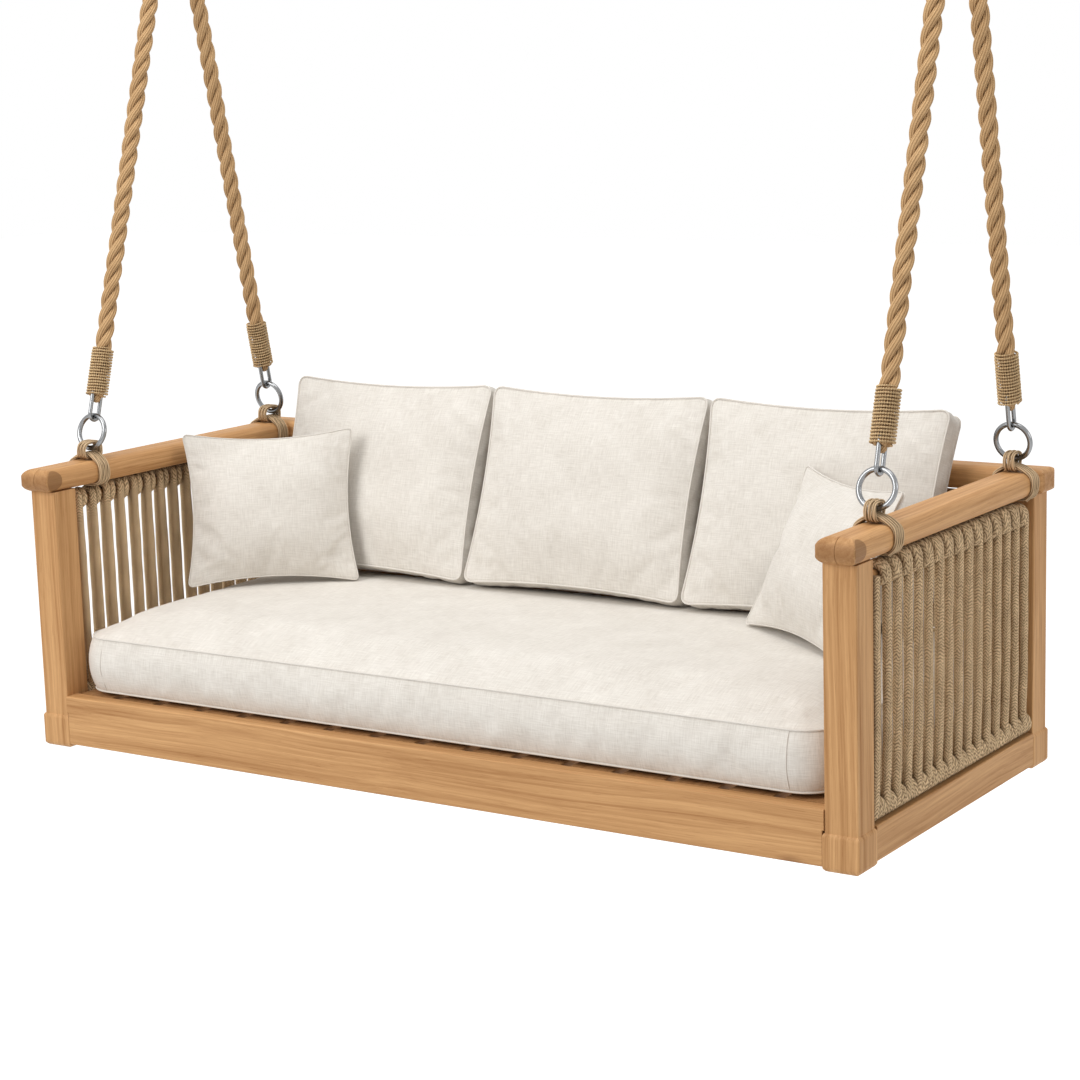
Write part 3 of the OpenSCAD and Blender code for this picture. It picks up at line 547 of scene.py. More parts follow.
def flat_case(width, height, edge, cell, rows):
    """A flat closed box of even cells about the origin, with UVs in metres."""
    case = bmesh.new()
    uv = case.loops.layers.uv.new("UVMap")
    columns, lines = round(width / cell), round(height / cell)
    bmesh.ops.create_grid(case, x_segments=columns, y_segments=lines, size=0.5)
    bmesh.ops.scale(case, vec=(width, height, 1), verts=case.verts)
    bmesh.ops.translate(case, vec=(0, 0, -edge / 2), verts=case.verts)
    grown = bmesh.ops.extrude_face_region(case, geom=case.faces[:], use_keep_orig=True)
    top = [v for v in grown["geom"] if isinstance(v, bmesh.types.BMVert)]
    bmesh.ops.translate(case, vec=(0, 0, edge), verts=top)
    for row in range(1, rows):
        everything = case.verts[:] + case.edges[:] + case.faces[:]
        height_of_cut = edge * (row / rows - 0.5)
        bmesh.ops.bisect_plane(case, geom=everything, plane_co=(0, 0, height_of_cut), plane_no=(0, 0, 1))
    bmesh.ops.recalc_face_normals(case, faces=case.faces)
    for face in case.faces:
        facing = max(range(3), key=lambda axis: abs(face.normal[axis]))
        first, second = ((1, 2), (0, 2), (0, 1))[facing]
        for corner in face.loops:
            corner[uv].uv = (corner.vert.co[first], corner.vert.co[second])
    return case


def round_corner(x, y, reach_x, reach_y, radius):
    """A point of a rectangle, moved so that the rectangle's corners become round."""
    a, b = abs(x) - (reach_x - radius), abs(y) - (reach_y - radius)
    if a <= 0 or b <= 0:
        return x, y
    shrink = max(a, b) / math.hypot(a, b)
    return (
        math.copysign(reach_x - radius + a * shrink, x),
        math.copysign(reach_y - radius + b * shrink, y),
    )


def filled(case, width, height, edge, crowns, bulge, radius, pull, fullness):
    """Moves a flat case's vertices to its filled form. crowns are the rises of its lower and upper
    face, and fullness says how steeply each climbs from its seam."""
    reach_x, reach_y = width / 2, height / 2
    half = min(reach_x, reach_y)
    for vert in case.verts:
        x, y, z = vert.co
        u = max(0, abs(x) - (reach_x - half)) / half
        v = max(0, abs(y) - (reach_y - half)) / half
        full = fullness[1 if z > 0 else 0]
        rise = (1 - u**full) * (1 - v**full)
        out_x = math.copysign(1, x) if abs(x) > reach_x - TINY else 0
        out_y = math.copysign(1, y) if abs(y) > reach_y - TINY else 0
        on_side = out_x or out_y
        belly = bulge * (1 - (2 * z / edge) ** 2) if on_side else 0
        x, y = round_corner(x, y, reach_x, reach_y, radius)
        drawn_x = 1 - pull / reach_x * (1 - (y / reach_y) ** 2)
        drawn_y = 1 - pull / reach_y * (1 - (x / reach_x) ** 2)
        x, y = x * drawn_x, y * drawn_y
        if not on_side or abs(z) > edge / 2 - TINY:
            z += rise * (crowns[1] if z > 0 else -crowns[0])
        length = math.hypot(out_x, out_y) or 1
        vert.co = (x + belly * out_x / length, y + belly * out_y / length, z)


def press(piece, held, pressure, most, spare):
    """Fills the case by a cloth simulation. held names the vertices that the seams hold, most is
    how far a point may move, and spare is how much larger the cloth is cut than the form."""
    group = piece.vertex_groups.new(name="held")
    group.add(held, 1.0, "REPLACE")
    cloth = piece.modifiers.new("cloth", "CLOTH")
    fitted = {"uniform_pressure_force": pressure, "shrink_min": -spare, "shrink_max": -spare,
              "vertex_group_mass": "held"}
    for key, value in (CLOTH | fitted).items():
        setattr(cloth.settings, key, value)
    cloth.settings.effector_weights.gravity = 0
    cloth.collision_settings.use_collision = False
    for number in range(1, CLOTH_FRAMES + 1):
        scene.frame_set(number)
    graph = bpy.context.evaluated_depsgraph_get()
    pressed = bpy.data.meshes.new_from_object(piece.evaluated_get(graph))
    furthest = 0
    for vert, goal in zip(piece.data.vertices, pressed.vertices):
        move = goal.co - vert.co
        furthest = max(furthest, move.length)
        if move.length > most:
            move *= most / move.length
        vert.co += move
    piece.modifiers.clear()
    piece.vertex_groups.clear()
    bpy.data.meshes.remove(pressed)
    scene.frame_set(1)
    return furthest


print("case helpers ready")

# %% [markdown]
# ## Seams
# Where two pieces of cloth are sewn together a fine ridge stands up, because the turned-in edges
# lie under it. It is a thin tube along the seam's own vertices, half sunk in the cloth.

# %% Seams and the whole cushion
SEAM_R = 0.0021
SEAM_SIDES = 8
SEAM_OUT = 0.0006           # of its middle from the cloth
UPRIGHT_SEAM_R = 0.0011
SEAM_CREASE = 0.55
UNEVEN_START = 0.0006       # small heights that start the cloth's creases


def seam_loops(case, width, height, edge):
    """Vertex numbers of the two seams, in order round the case, found while it is still flat."""
    loops = []
    for level in (-edge / 2, edge / 2):
        on_seam = [
            v.index for v in case.verts
            if abs(v.co.z - level) < TINY
            and (abs(v.co.x) > width / 2 - TINY or abs(v.co.y) > height / 2 - TINY)
        ]
        on_seam.sort(key=lambda i: math.atan2(case.verts[i].co.y / height, case.verts[i].co.x / width))
        loops.append(on_seam)
    return loops


def upright_seam(case, height, x):
    """Vertex numbers of the seam that climbs the front gusset nearest x, from the bottom up."""
    front = [v for v in case.verts if abs(v.co.y + height / 2) < TINY]
    nearest = min(front, key=lambda v: abs(v.co.x - x)).co.x
    column = [v for v in front if abs(v.co.x - nearest) < TINY]
    return [v.index for v in sorted(column, key=lambda v: v.co.z)]


def heights(mesh):
    """Its highest and its lowest point."""
    levels = [v.co.z for v in mesh.vertices]
    return max(levels), min(levels)


def cushion(node, size, edge, crowns, bulge, radius, pull, fullness, cell, rows, place, seed, spare,
            pressure=4.0, most=0.012, seam_r=SEAM_R, hold_bottom=False, uprights=()):
    """A filled cushion and its seams, which stand for the model's plain solid at that place."""
    width, height = size
    case = flat_case(width, height, edge, cell, rows)
    case.verts.ensure_lookup_table()
    case.verts.index_update()
    loops = seam_loops(case, width, height, edge)
    columns = [upright_seam(case, height, x) for x in uprights]
    crease = case.edges.layers.float.new("crease_edge")
    for loop in loops:
        members = set(loop)
        for seam_edge in case.edges:
            if {v.index for v in seam_edge.verts} <= members:
                seam_edge[crease] = SEAM_CREASE
    filled(case, width, height, edge, crowns, bulge, radius, pull, fullness)
    held = [i for loop in loops for i in loop]
    if hold_bottom:
        held += [v.index for v in case.verts if v.co.z < -edge / 2 + TINY and v.index not in set(held)]
    mesh = bpy.data.meshes.new(node + "_cover")
    case.to_mesh(mesh)
    case.free()
    mesh.shade_smooth()
    piece = placed(node + "_cover", mesh)
    reach = heights(mesh)
    chance = random.Random(seed)
    for i in sorted(set(range(len(mesh.vertices))) - set(held)):
        mesh.vertices[i].co.z += UNEVEN_START * chance.uniform(-1, 1)
    moved = press(piece, held, pressure, most, spare)
    now = heights(mesh)
    for vert in mesh.vertices:
        limit, goal = (now[0], reach[0]) if vert.co.z > 0 else (now[1], reach[1])
        over = abs(vert.co.z) - edge / 2
        if over > 0 and abs(limit) > edge / 2:
            scale = (abs(goal) - edge / 2) / (abs(limit) - edge / 2)
            vert.co.z = math.copysign(edge / 2 + over * scale, vert.co.z)
    print(node, "pressed out by", round(moved * 1000, 1), "mm at most")
    normals = {v.index: v.normal.copy() for v in mesh.vertices}
    section = lobed_section(seam_r, SEAM_SIDES, 0)
    seams = []
    for loop in loops:
        points = [mesh.vertices[i].co + normals[i] * SEAM_OUT for i in loop]
        seams.append(sweep(points, section, closed=True))
    for column in columns:
        points = [mesh.vertices[i].co for i in column]
        seams.append(sweep(points, lobed_section(UPRIGHT_SEAM_R, SEAM_SIDES, 0)))
    mesh.transform(place)
    soft = piece.modifiers.new("soft", "SUBSURF")
    soft.levels = soft.render_levels = 1
    stand_for(piece, "linen", node)
    welt = piece_of(node + "_seams", seams)
    welt.data.transform(place)
    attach(welt, BODY_OF[node])
    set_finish(welt, "linen")


print("cushion helpers ready")

# %% [markdown]
# ## The seat cushion
# A deep, soft block as wide as the bed. Its lower face lies flat on the slats and turns up to a
# seam a finger's breadth above them. That face and both seams are held, and only the crown and
# the sides swell. Two more seams climb the front gusset near its corners.

# %% Fill the seat cushion
SEAT_EDGE, SEAT_CROWN, SEAT_BULGE, SEAT_PULL = 0.117, 0.058, 0.013, 0.004
SEAT_TURN_UP = 0.013        # from the slats to the lower seam
SEAT_CORNER_R = 0.070
low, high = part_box("seat_cushion")
seat_size = tuple(high[k] - low[k] - 2 * SEAT_BULGE + 2 * SEAT_PULL for k in (0, 1))
seat_middle = ((low.x + high.x) / 2, (low.y + high.y) / 2, low.z + SEAT_TURN_UP + SEAT_EDGE / 2)
seam_x = seat_size[0] / 2 - SEAT_CORNER_R
cushion("seat_cushion", seat_size, SEAT_EDGE, crowns=(SEAT_TURN_UP, SEAT_CROWN), bulge=SEAT_BULGE,
        radius=SEAT_CORNER_R, pull=SEAT_PULL, fullness=(26, 6), cell=0.014, rows=8,
        place=Matrix.Translation(seat_middle), pressure=3.0, most=0.010, spare=0.015,
        hold_bottom=True, seed=5, uprights=(-seam_x, seam_x))
print("seat cushion", tuple(round(s, 3) for s in seat_size))

# %% [markdown]
# ## The back cushions
# Three equal cushions lean on the back top rail. They are softer than the seat, with corners that
# stand out as ears and a narrow gusset between two seams.

# %% Fill the back cushions
BACK_SIZE, BACK_EDGE, BACK_THICKNESS = (0.556, 0.450), 0.056, 0.134
BACK_LEAN = math.radians(20)
back_crown = (BACK_THICKNESS - BACK_EDGE) / 2
for number, name in enumerate(("left", "middle", "right")):
    node = name + "_back_cushion"
    place = Matrix.Translation(middle(node)) @ Matrix.Rotation(math.pi / 2 - BACK_LEAN, 4, "X")
    cushion(node, BACK_SIZE, BACK_EDGE, crowns=(back_crown, back_crown), bulge=0.003, radius=0.022,
            pull=0.014, fullness=(3, 3), cell=0.011, rows=5, place=place, spare=0.025, seed=11 + number)
print("three back cushions", BACK_SIZE)

# %% [markdown]
# ## The throw pillows
# Two panels are sewn straight to each other, so a pillow has a knife edge. It is thick in the
# middle, and its sides draw in between four pointed corners.

# %% Fill the throw pillows
PILLOW_SIZE, PILLOW_EDGE, PILLOW_THICKNESS = (0.390, 0.352), 0.006, 0.116
PILLOW_TURNS = {"left": (14, 38), "right": (25, -34)}       # lean and yaw in degrees
pillow_crown = (PILLOW_THICKNESS - PILLOW_EDGE) / 2
for number, side in enumerate(SIDES):
    node = side + "_pillow"
    lean, yaw = (math.radians(a) for a in PILLOW_TURNS[side])
    place = Matrix.Translation(middle(node)) @ Matrix.Rotation(yaw, 4, "Z")
    place = place @ Matrix.Rotation(math.pi / 2 - lean, 4, "X")
    cushion(node, PILLOW_SIZE, PILLOW_EDGE, crowns=(pillow_crown, pillow_crown), bulge=0, radius=0.014,
            pull=0.020, fullness=(2.4, 2.4), cell=0.009, rows=1, place=place, spare=0.03, most=0.016,
            seam_r=0.0014, seed=31 + number)
print("two pillows", PILLOW_SIZE)

# %% [markdown]
# ## Building materials from groups
# Some patterns serve more than one finish: wood grain, woven linen and rope. Each is a
# node group with named sockets, built once. The Principled shader stays in each material, and
# whatever is the same all over a surface is written on its own sockets.

# %% Helpers for nodes
def feed(tree, node, inputs):
    """Sets a node's inputs. Each is a value, or another node's socket to link from."""
    for key, value in inputs.items():
        if isinstance(value, bpy.types.NodeSocket):
            tree.links.new(value, node.inputs[key])
        else:
            node.inputs[key].default_value = value


def put(tree, kind, inputs=None, **settings):
    """A new node with those settings and inputs."""
    new = tree.nodes.new("ShaderNode" + kind)
    for key, value in settings.items():
        setattr(new, key, value)
    feed(tree, new, inputs or {})
    return new


def reckon(tree, operation, first, second=0.0, clamp=False):
    return put(tree, "Math", {0: first, 1: second}, operation=operation, use_clamp=clamp).outputs[0]


def times(tree, first, second):
    return reckon(tree, "MULTIPLY", first, second)


def reckon_vector(tree, operation, first, second=(0, 0, 0), output=0):
    return put(tree, "VectorMath", {0: first, 1: second}, operation=operation).outputs[output]


def weighted(tree, *pairs):
    """The sum of several values, each times its weight."""
    total = 0.0
    for value, weight in pairs:
        total = reckon(tree, "ADD", times(tree, value, weight), total)
    return total


def blend_colours(tree, factor, first, second, kind="MIX"):
    mix = put(tree, "Mix", {0: factor, 6: first, 7: second}, data_type="RGBA", blend_type=kind)
    return mix.outputs[2]


def spread(tree, value, low, high, to_low=0.0, to_high=1.0):
    """Maps low..high to to_low..to_high and stops there."""
    return put(tree, "MapRange", {0: value, 1: low, 2: high, 3: to_low, 4: to_high}).outputs[0]


def noise(tree, vector, scale, detail=2.0, roughness=0.5):
    values = {"Vector": vector, "Scale": scale, "Detail": detail, "Roughness": roughness}
    return put(tree, "TexNoise", values).outputs["Fac"]


def stretched(tree, vector, scale, shift=(0, 0, 0)):
    return put(tree, "Mapping", {"Vector": vector, "Scale": scale, "Location": shift}).outputs[0]


def drawn_noise(tree, vector, scale, detail=2.0, roughness=0.5, shift=(0, 0, 0)):
    """Noise with a scale of its own along each axis."""
    return noise(tree, stretched(tree, vector, scale, shift), 1.0, detail, roughness)


def new_group(name, inputs, outputs):
    """A new node group, its inputs' sockets and its output node. Sockets are names and kinds."""
    tree = bpy.data.node_groups.new(name, "ShaderNodeTree")
    for way, sockets in (("INPUT", inputs), ("OUTPUT", outputs)):
        for label, kind in sockets:
            tree.interface.new_socket(label, in_out=way, socket_type="NodeSocket" + kind)
    start, end = tree.nodes.new("NodeGroupInput"), tree.nodes.new("NodeGroupOutput")
    return tree, start.outputs, end


def linear(red, green, blue):
    """A colour as seen on a screen, 0 to 255, made linear for the shader."""
    values = [v / 255 for v in (red, green, blue)]
    return (*(v / 12.92 if v <= 0.04045 else ((v + 0.055) / 1.055) ** 2.4 for v in values), 1.0)


print("node helpers ready")

# %% [markdown]
# ### Wood grain
# A board is cut from a tree, so its grain is worked out in three dimensions: bands, streaks and
# fibres of three widths, all drawn out along the board, faint year rings about a pith that lies
# outside it, and short dark pores. The board's faces cut through that as a saw would, and end
# grain comes by itself. The fibres run along the pattern's Z, which a Mapping node lays along
# each piece.

# %% Group: wood grain
wood, given, out = new_group(
    "wood_grain",
    [("Vector", "Vector"), ("Normal", "Vector"), ("Light", "Color"), ("Dark", "Color"), ("Rings", "Float")],
    [("Color", "Color"), ("Roughness", "Float"), ("Height", "Float")],
)
KNOT_BROWN, END_BROWN = linear(118, 76, 44), linear(138, 92, 52)
slow = stretched(wood, given["Vector"], (3, 3, 0.9))
slow = put(wood, "TexNoise", {"Vector": slow, "Scale": 1.6, "Detail": 2.0}).outputs["Color"]
bent = reckon_vector(wood, "SUBTRACT", slow, (0.5, 0.5, 0.5))
bent = reckon_vector(wood, "MULTIPLY", bent, (0.040, 0.040, 0.0))
grown = reckon_vector(wood, "ADD", given["Vector"], bent)
flat = reckon_vector(wood, "MULTIPLY", grown, (1, 1, 0))
pith = reckon_vector(wood, "DISTANCE", flat, (0.11, 0.06, 0), "Value")
uneven = drawn_noise(wood, grown, (24, 24, 0.8))
part = reckon(wood, "FRACT", weighted(wood, (pith, given["Rings"]), (uneven, 3.0)))
late = times(wood, spread(wood, part, 0.1, 0.9), spread(wood, part, 1.0, 0.86))
fibre = drawn_noise(wood, grown, (430, 430, 7), 4, 0.6)
band = drawn_noise(wood, grown, (34, 34, 0.6), 3, 0.55)
streak = drawn_noise(wood, grown, (130, 130, 1.6), 4, 0.6)
pores = spread(wood, drawn_noise(wood, grown, (760, 760, 22)), 0.60, 0.68)
pores = times(wood, pores, spread(wood, part, 0.2, 0.6, 1.0, 0.45))
tone = weighted(wood, (late, 0.14), (band, 0.85), (streak, 0.95), (fibre, 0.50), (pores, 0.22))
tone = spread(wood, tone, 0.86, 1.66)
board = blend_colours(wood, tone, given["Light"], given["Dark"])
knot_vector = stretched(wood, grown, (3.6, 3.6, 1.5))
knot_place = put(wood, "TexVoronoi", {"Vector": knot_vector, "Scale": 1.0}).outputs["Distance"]
knot = spread(wood, knot_place, 0.02, 0.06, 1.0, 0.0)
board = blend_colours(wood, times(wood, knot, 0.55), board, KNOT_BROWN)
along = reckon_vector(wood, "DOT_PRODUCT", given["Normal"], (0, 0, 1), "Value")
end_grain = spread(wood, reckon(wood, "ABSOLUTE", along), 0.75, 0.95, 0.0, 0.38)
board = blend_colours(wood, end_grain, board, END_BROWN)
relief = reckon(wood, "SUBTRACT", times(wood, fibre, 0.5), pores)
feed(wood, out, {"Color": board, "Roughness": spread(wood, tone, 0.0, 1.0, 0.50, 0.66), "Height": relief})
print("wood grain:", len(wood.nodes), "nodes")

# %% [markdown]
# ### Linen weave
# Linen is woven plain, one thread over and one under, and its threads are uneven: each swells
# into slubs a few centimetres long. The group reads the case's own UVs, which are metres, so that
# the threads follow the cloth round every edge.

# %% Group: linen weave
weave, given, out = new_group(
    "linen_weave",
    [("Vector", "Vector"), ("Thread", "Float")],
    [("Shade", "Float"), ("Height", "Float")],
)
parts = put(weave, "SeparateXYZ", {0: given["Vector"]}).outputs
turns = reckon(weave, "DIVIDE", math.pi, given["Thread"])
warp = reckon(weave, "ABSOLUTE", reckon(weave, "SINE", times(weave, parts[0], turns)))
weft = reckon(weave, "ABSOLUTE", reckon(weave, "SINE", times(weave, parts[1], turns)))
over = reckon(weave, "SINE", times(weave, reckon(weave, "ADD", parts[0], parts[1]), turns))
threads = weighted(weave, (reckon(weave, "ADD", warp, weft), 0.5), (over, 0.12))
slub_x = drawn_noise(weave, given["Vector"], (30, 420, 1), 3, 0.6)
slub_y = drawn_noise(weave, given["Vector"], (420, 30, 1), 3, 0.6, (7, 3, 0))
slubs = weighted(weave, (slub_x, 0.5), (slub_y, 0.5))
cloudy = noise(weave, given["Vector"], 9.0, 3, 0.6)
shade = weighted(weave, (slubs, 0.75), (cloudy, 0.25))
height = reckon(weave, "ADD", times(weave, threads, 0.5), slubs)
feed(weave, out, {"Shade": spread(weave, shade, 0.34, 0.64), "Height": height})
print("linen weave:", len(weave.nodes), "nodes")

# %% [markdown]
# ### Rope
# Rope is painted darker in the grooves between its yarns, which is painted shade, and pale on top. Two
# groups find the grooves on a cord's UVs, with U in metres along it and V once round it. On laid
# cord they follow the yarns, so a cosine of V finds them. A plaited cord shows rows of chevrons, and
# V folded to and fro gives each row its two slopes. A third group colours both kinds of cord and paints
# the shade into their grooves. Fine fibres run along it, and a slow noise makes some lengths of it
# paler, as hemp is.

# %% Group: laid grooves
CORD_INPUTS = [("Vector", "Vector"), ("Yarns", "Float"), ("Rows", "Float")]
laid, given, out = new_group("laid_grooves", CORD_INPUTS, [("Groove", "Float")])
parts = put(laid, "SeparateXYZ", {0: given["Vector"]}).outputs
phase = weighted(laid, (parts[1], given["Yarns"]), (parts[0], given["Rows"]))
wave = reckon(laid, "COSINE", times(laid, phase, math.tau))
feed(laid, out, {"Groove": spread(laid, wave, -1.0, 0.2, 1.0, 0.0)})
print("laid grooves:", len(laid.nodes), "nodes")

# %% Group: plaited grooves
plait, given, out = new_group("plaited_grooves", CORD_INPUTS, [("Groove", "Float")])
jitter = drawn_noise(plait, given["Vector"], (55, 7, 1))
parts = put(plait, "SeparateXYZ", {0: given["Vector"]}).outputs
fold = reckon(plait, "PINGPONG", times(plait, parts[1], given["Yarns"]), 0.5)
phase = weighted(plait, (parts[0], given["Rows"]), (fold, 2.2), (jitter, 2.0))
wave = reckon(plait, "COSINE", times(plait, phase, math.tau))
strands = spread(plait, wave, -1.0, 0.3, 1.0, 0.0)
# Painted shade: the valley between neighbouring strands is darker.
valley_shade = spread(plait, fold, 0.0, 0.1, 0.6, 0.0)
feed(plait, out, {"Groove": reckon(plait, "MAXIMUM", strands, valley_shade)})
print("plaited grooves:", len(plait.nodes), "nodes")

# %% Group: rope fibre
yarn, given, out = new_group(
    "rope_fibre",
    [("Vector", "Vector"), ("Place", "Vector"), ("Groove", "Float"), ("Weight", "Float"),
     ("Pale", "Color"), ("Deep", "Color")],
    [("Color", "Color"), ("Height", "Float")],
)
fibres = drawn_noise(yarn, given["Vector"], (90, 60, 1), 4, 0.65)
hairs = drawn_noise(yarn, given["Vector"], (320, 130, 1), 3, 0.65, (3, 5, 0))
patches = noise(yarn, given["Place"], 22.0, 3, 0.6)
tone = weighted(yarn, (fibres, 0.7), (patches, 0.5), (hairs, 0.5))
tone = spread(yarn, tone, 0.60, 1.10)
tone = times(yarn, tone, reckon(yarn, "SUBTRACT", 1.0, given["Weight"]))
# Painted shade: the grooves take the deep colour, by the given weight.
groove_shade_share = times(yarn, given["Groove"], given["Weight"])
tone = reckon(yarn, "ADD", tone, groove_shade_share, True)
colour = blend_colours(yarn, tone, given["Pale"], given["Deep"])
relief = reckon(yarn, "SUBTRACT", times(yarn, hairs, 0.6), given["Groove"])
feed(yarn, out, {"Color": colour, "Height": relief})
print("rope fibre:", len(yarn.nodes), "nodes")

# %% [markdown]
# ## The timber
# Each board gets a material of its own, so that no two show the same piece of tree. The pattern's
# Z is turned along the piece's own fibres. The pieces that show are warm and honey coloured. The
# deck under the cushions and the boards behind them get a darker copy of the same wood, which is
# painted shade.

# %% Finish the timber
NOSE_R, NOSE_DISC_R = 0.024, 0.0228
NOSE_DISC_DEPTH = 0.010     # from an arm's side face
NOSE_EDGE = 0.001           # over which a mark fades out
NOSE_BROWN = linear(122, 84, 48)
RINGS_PER_METRE = 85.0


def finish_of(name):
    """A new material: its node tree and its shader."""
    material = bpy.data.materials.new(name)
    material.use_nodes = True
    shader = next(n for n in material.node_tree.nodes if n.type == "BSDF_PRINCIPLED")
    return material, material.node_tree, shader


def raised(tree, height, strength, distance):
    """The normals of a surface with that relief, distance deep."""
    return put(tree, "Bump", {"Height": height, "Strength": strength, "Distance": distance}).outputs[0]


def dress(piece, material):
    """Gives a piece its finish, in place of any that it has."""
    piece.data.materials.clear()
    piece.data.materials.append(material)


def nose_mark(tree, place, board, node):
    """An arm's round nose is a shade darker, and end grain shows as a disc on its two side faces."""
    low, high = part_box(node)
    mid = (low + high) / 2
    from_axis = reckon_vector(tree, "SUBTRACT", place, (mid.x, low.y + NOSE_R, mid.z))
    parts = put(tree, "SeparateXYZ", {0: from_axis}).outputs
    upright = reckon_vector(tree, "MULTIPLY", from_axis, (0, 1, 1))
    away = reckon_vector(tree, "LENGTH", upright, output="Value")
    disc = spread(tree, away, NOSE_DISC_R - NOSE_EDGE, NOSE_DISC_R, 0.7, 0.0)
    side_x = (high.x - low.x) / 2 - NOSE_DISC_DEPTH
    at_side = spread(tree, reckon(tree, "ABSOLUTE", parts[0]), side_x - NOSE_EDGE, side_x)
    nose = spread(tree, parts[1], -NOSE_R, 0.004, 0.4, 0.0)
    dark = reckon(tree, "MAXIMUM", times(tree, disc, at_side), nose)
    return blend_colours(tree, dark, board, NOSE_BROWN)


def timber(name, axis, seed, light, dark):
    material, tree, shader = finish_of(name)
    chance = random.Random(seed)
    turn = {"X": (0, math.pi / 2, 0), "Y": (math.pi / 2, 0, 0), "Z": (0, 0, 0)}[axis]
    shift = tuple(chance.uniform(-0.06, 0.06) for _ in "xy") + (chance.uniform(-9, 9),)
    shade = chance.uniform(0.95, 1.05)
    light, dark = ((*(shade * part for part in colour[:3]), 1) for colour in (light, dark))
    sight = put(tree, "TexCoord").outputs
    place = put(tree, "Mapping", {"Vector": sight["Object"], "Rotation": turn}).outputs[0]
    place = put(tree, "Mapping", {"Vector": place, "Location": shift}).outputs[0]
    facing = put(tree, "Mapping", {"Vector": sight["Normal"], "Rotation": turn}, vector_type="VECTOR")
    grain = put(tree, "Group", {"Vector": place, "Normal": facing.outputs[0], "Light": light,
                                "Dark": dark, "Rings": RINGS_PER_METRE}, node_tree=wood).outputs
    board = grain["Color"]
    if name.endswith("_arm"):
        board = nose_mark(tree, sight["Object"], board, name.removeprefix("timber_"))
    feed(tree, shader, {"Base Color": board, "Roughness": grain["Roughness"], "Specular IOR Level": 0.28,
                        "Normal": raised(tree, grain["Height"], strength=0.22, distance=0.0006)})
    return material


HONEY_LIGHT, HONEY_DARK = linear(216, 168, 115), linear(158, 109, 62)
# Painted shade: the deck colours are the honey wood made darker for the pieces under and behind the cushions.
SHADED_DECK_LIGHT, SHADED_DECK_DARK = linear(192, 147, 100), linear(146, 102, 61)
GRAIN = {"X": ["front_rail", "back_rail", "back_top_rail", "back_boards", "front_ledger", "back_ledger"],
         "Y": ["seat_slats"] + [side + part for side in SIDES for part in
               ("_side_rail", "_arm", "_top_dowel", "_bottom_dowel")],
         "Z": [corner + "_post" for corner in CORNERS] + ["back_stiles", "joint_dowels"]}
SHADED_DECK = ("back_boards", "back_stiles", "front_ledger", "back_ledger", "seat_slats")
seed = 0
for axis, names in GRAIN.items():
    for node in names:
        seed += 1
        # The deck pieces get the darker copy of the wood, which is painted shade.
        light, dark = (SHADED_DECK_LIGHT, SHADED_DECK_DARK) if node in SHADED_DECK else (HONEY_LIGHT, HONEY_DARK)
        dress(frame["nodes"][node], timber("timber_" + node, axis, seed, light, dark))
print("timber:", seed, "pieces of wood")

# %% [markdown]
# ## The linen
# One cloth covers all the cushions. It is matt, with a slight sheen from loose fibres, and its
# relief is small: the threads are only about a millimetre wide.

# %% Finish the linen
THREAD = 0.0012


def linen(name, pale, deep):
    material, tree, shader = finish_of(name)
    sight = put(tree, "TexCoord").outputs
    cloth = put(tree, "Group", {"Vector": sight["UV"], "Thread": THREAD}, node_tree=weave).outputs
    colour = blend_colours(tree, cloth["Shade"], deep, pale)
    feed(tree, shader, {"Base Color": colour, "Roughness": 0.92, "Specular IOR Level": 0.2,
                        "Sheen Weight": 0.12, "Sheen Roughness": 0.5,
                        "Normal": raised(tree, cloth["Height"], strength=0.35, distance=0.0005)})
    return material


cover_cloth = linen("linen", linear(232, 227, 219), linear(203, 196, 186))
covers = [piece for piece in bpy.data.objects if piece.get("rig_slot") == "linen"]
for piece in covers:
    dress(piece, cover_cloth)
print("linen on", len(covers), "covers and seams")

# %% [markdown]
# ## The ropes
# Hanging ropes are golden hemp. The twine and the lashings are laid jute, and the sides are wound
# with plaited jute. Each cord has its own number of yarns and depth of groove, and all get painted
# shade in the crevices between neighbouring turns.

# %% Finish the ropes
CREVICE_SHADE_REACH = 0.016             # how near another turn of rope must lie for painted shade to fall between them


def cordage(name, grooves, yarns, rows, weight, pale, deep, distance=0.0006, crevice_shade=0.7):
    """A cord's finish, with painted shade in its grooves and crevices. weight is the share of its painted
    shading that comes from the grooves.
    """
    material, tree, shader = finish_of(name)
    sight = put(tree, "TexCoord").outputs
    pattern = put(tree, "Group", {"Vector": sight["UV"], "Yarns": yarns, "Rows": rows}, node_tree=grooves)
    fibres = put(tree, "Group", {"Vector": sight["UV"], "Place": sight["Object"],
                                 "Groove": pattern.outputs["Groove"], "Weight": weight,
                                 "Pale": pale, "Deep": deep}, node_tree=yarn).outputs
    # Painted shade: an ambient occlusion node darkens the colour where other turns lie close.
    hidden = put(tree, "AmbientOcclusion", {"Distance": CREVICE_SHADE_REACH}, samples=6).outputs["AO"]
    shadow = spread(tree, hidden, 0.15, 0.85, crevice_shade, 1.0)
    shadow = put(tree, "CombineXYZ", {0: shadow, 1: shadow, 2: shadow}).outputs[0]
    colour = blend_colours(tree, 1.0, fibres["Color"], shadow, "MULTIPLY")
    feed(tree, shader, {"Base Color": colour, "Roughness": 0.86, "Specular IOR Level": 0.25,
                        "Normal": raised(tree, fibres["Height"], strength=0.7, distance=distance)})
    return material


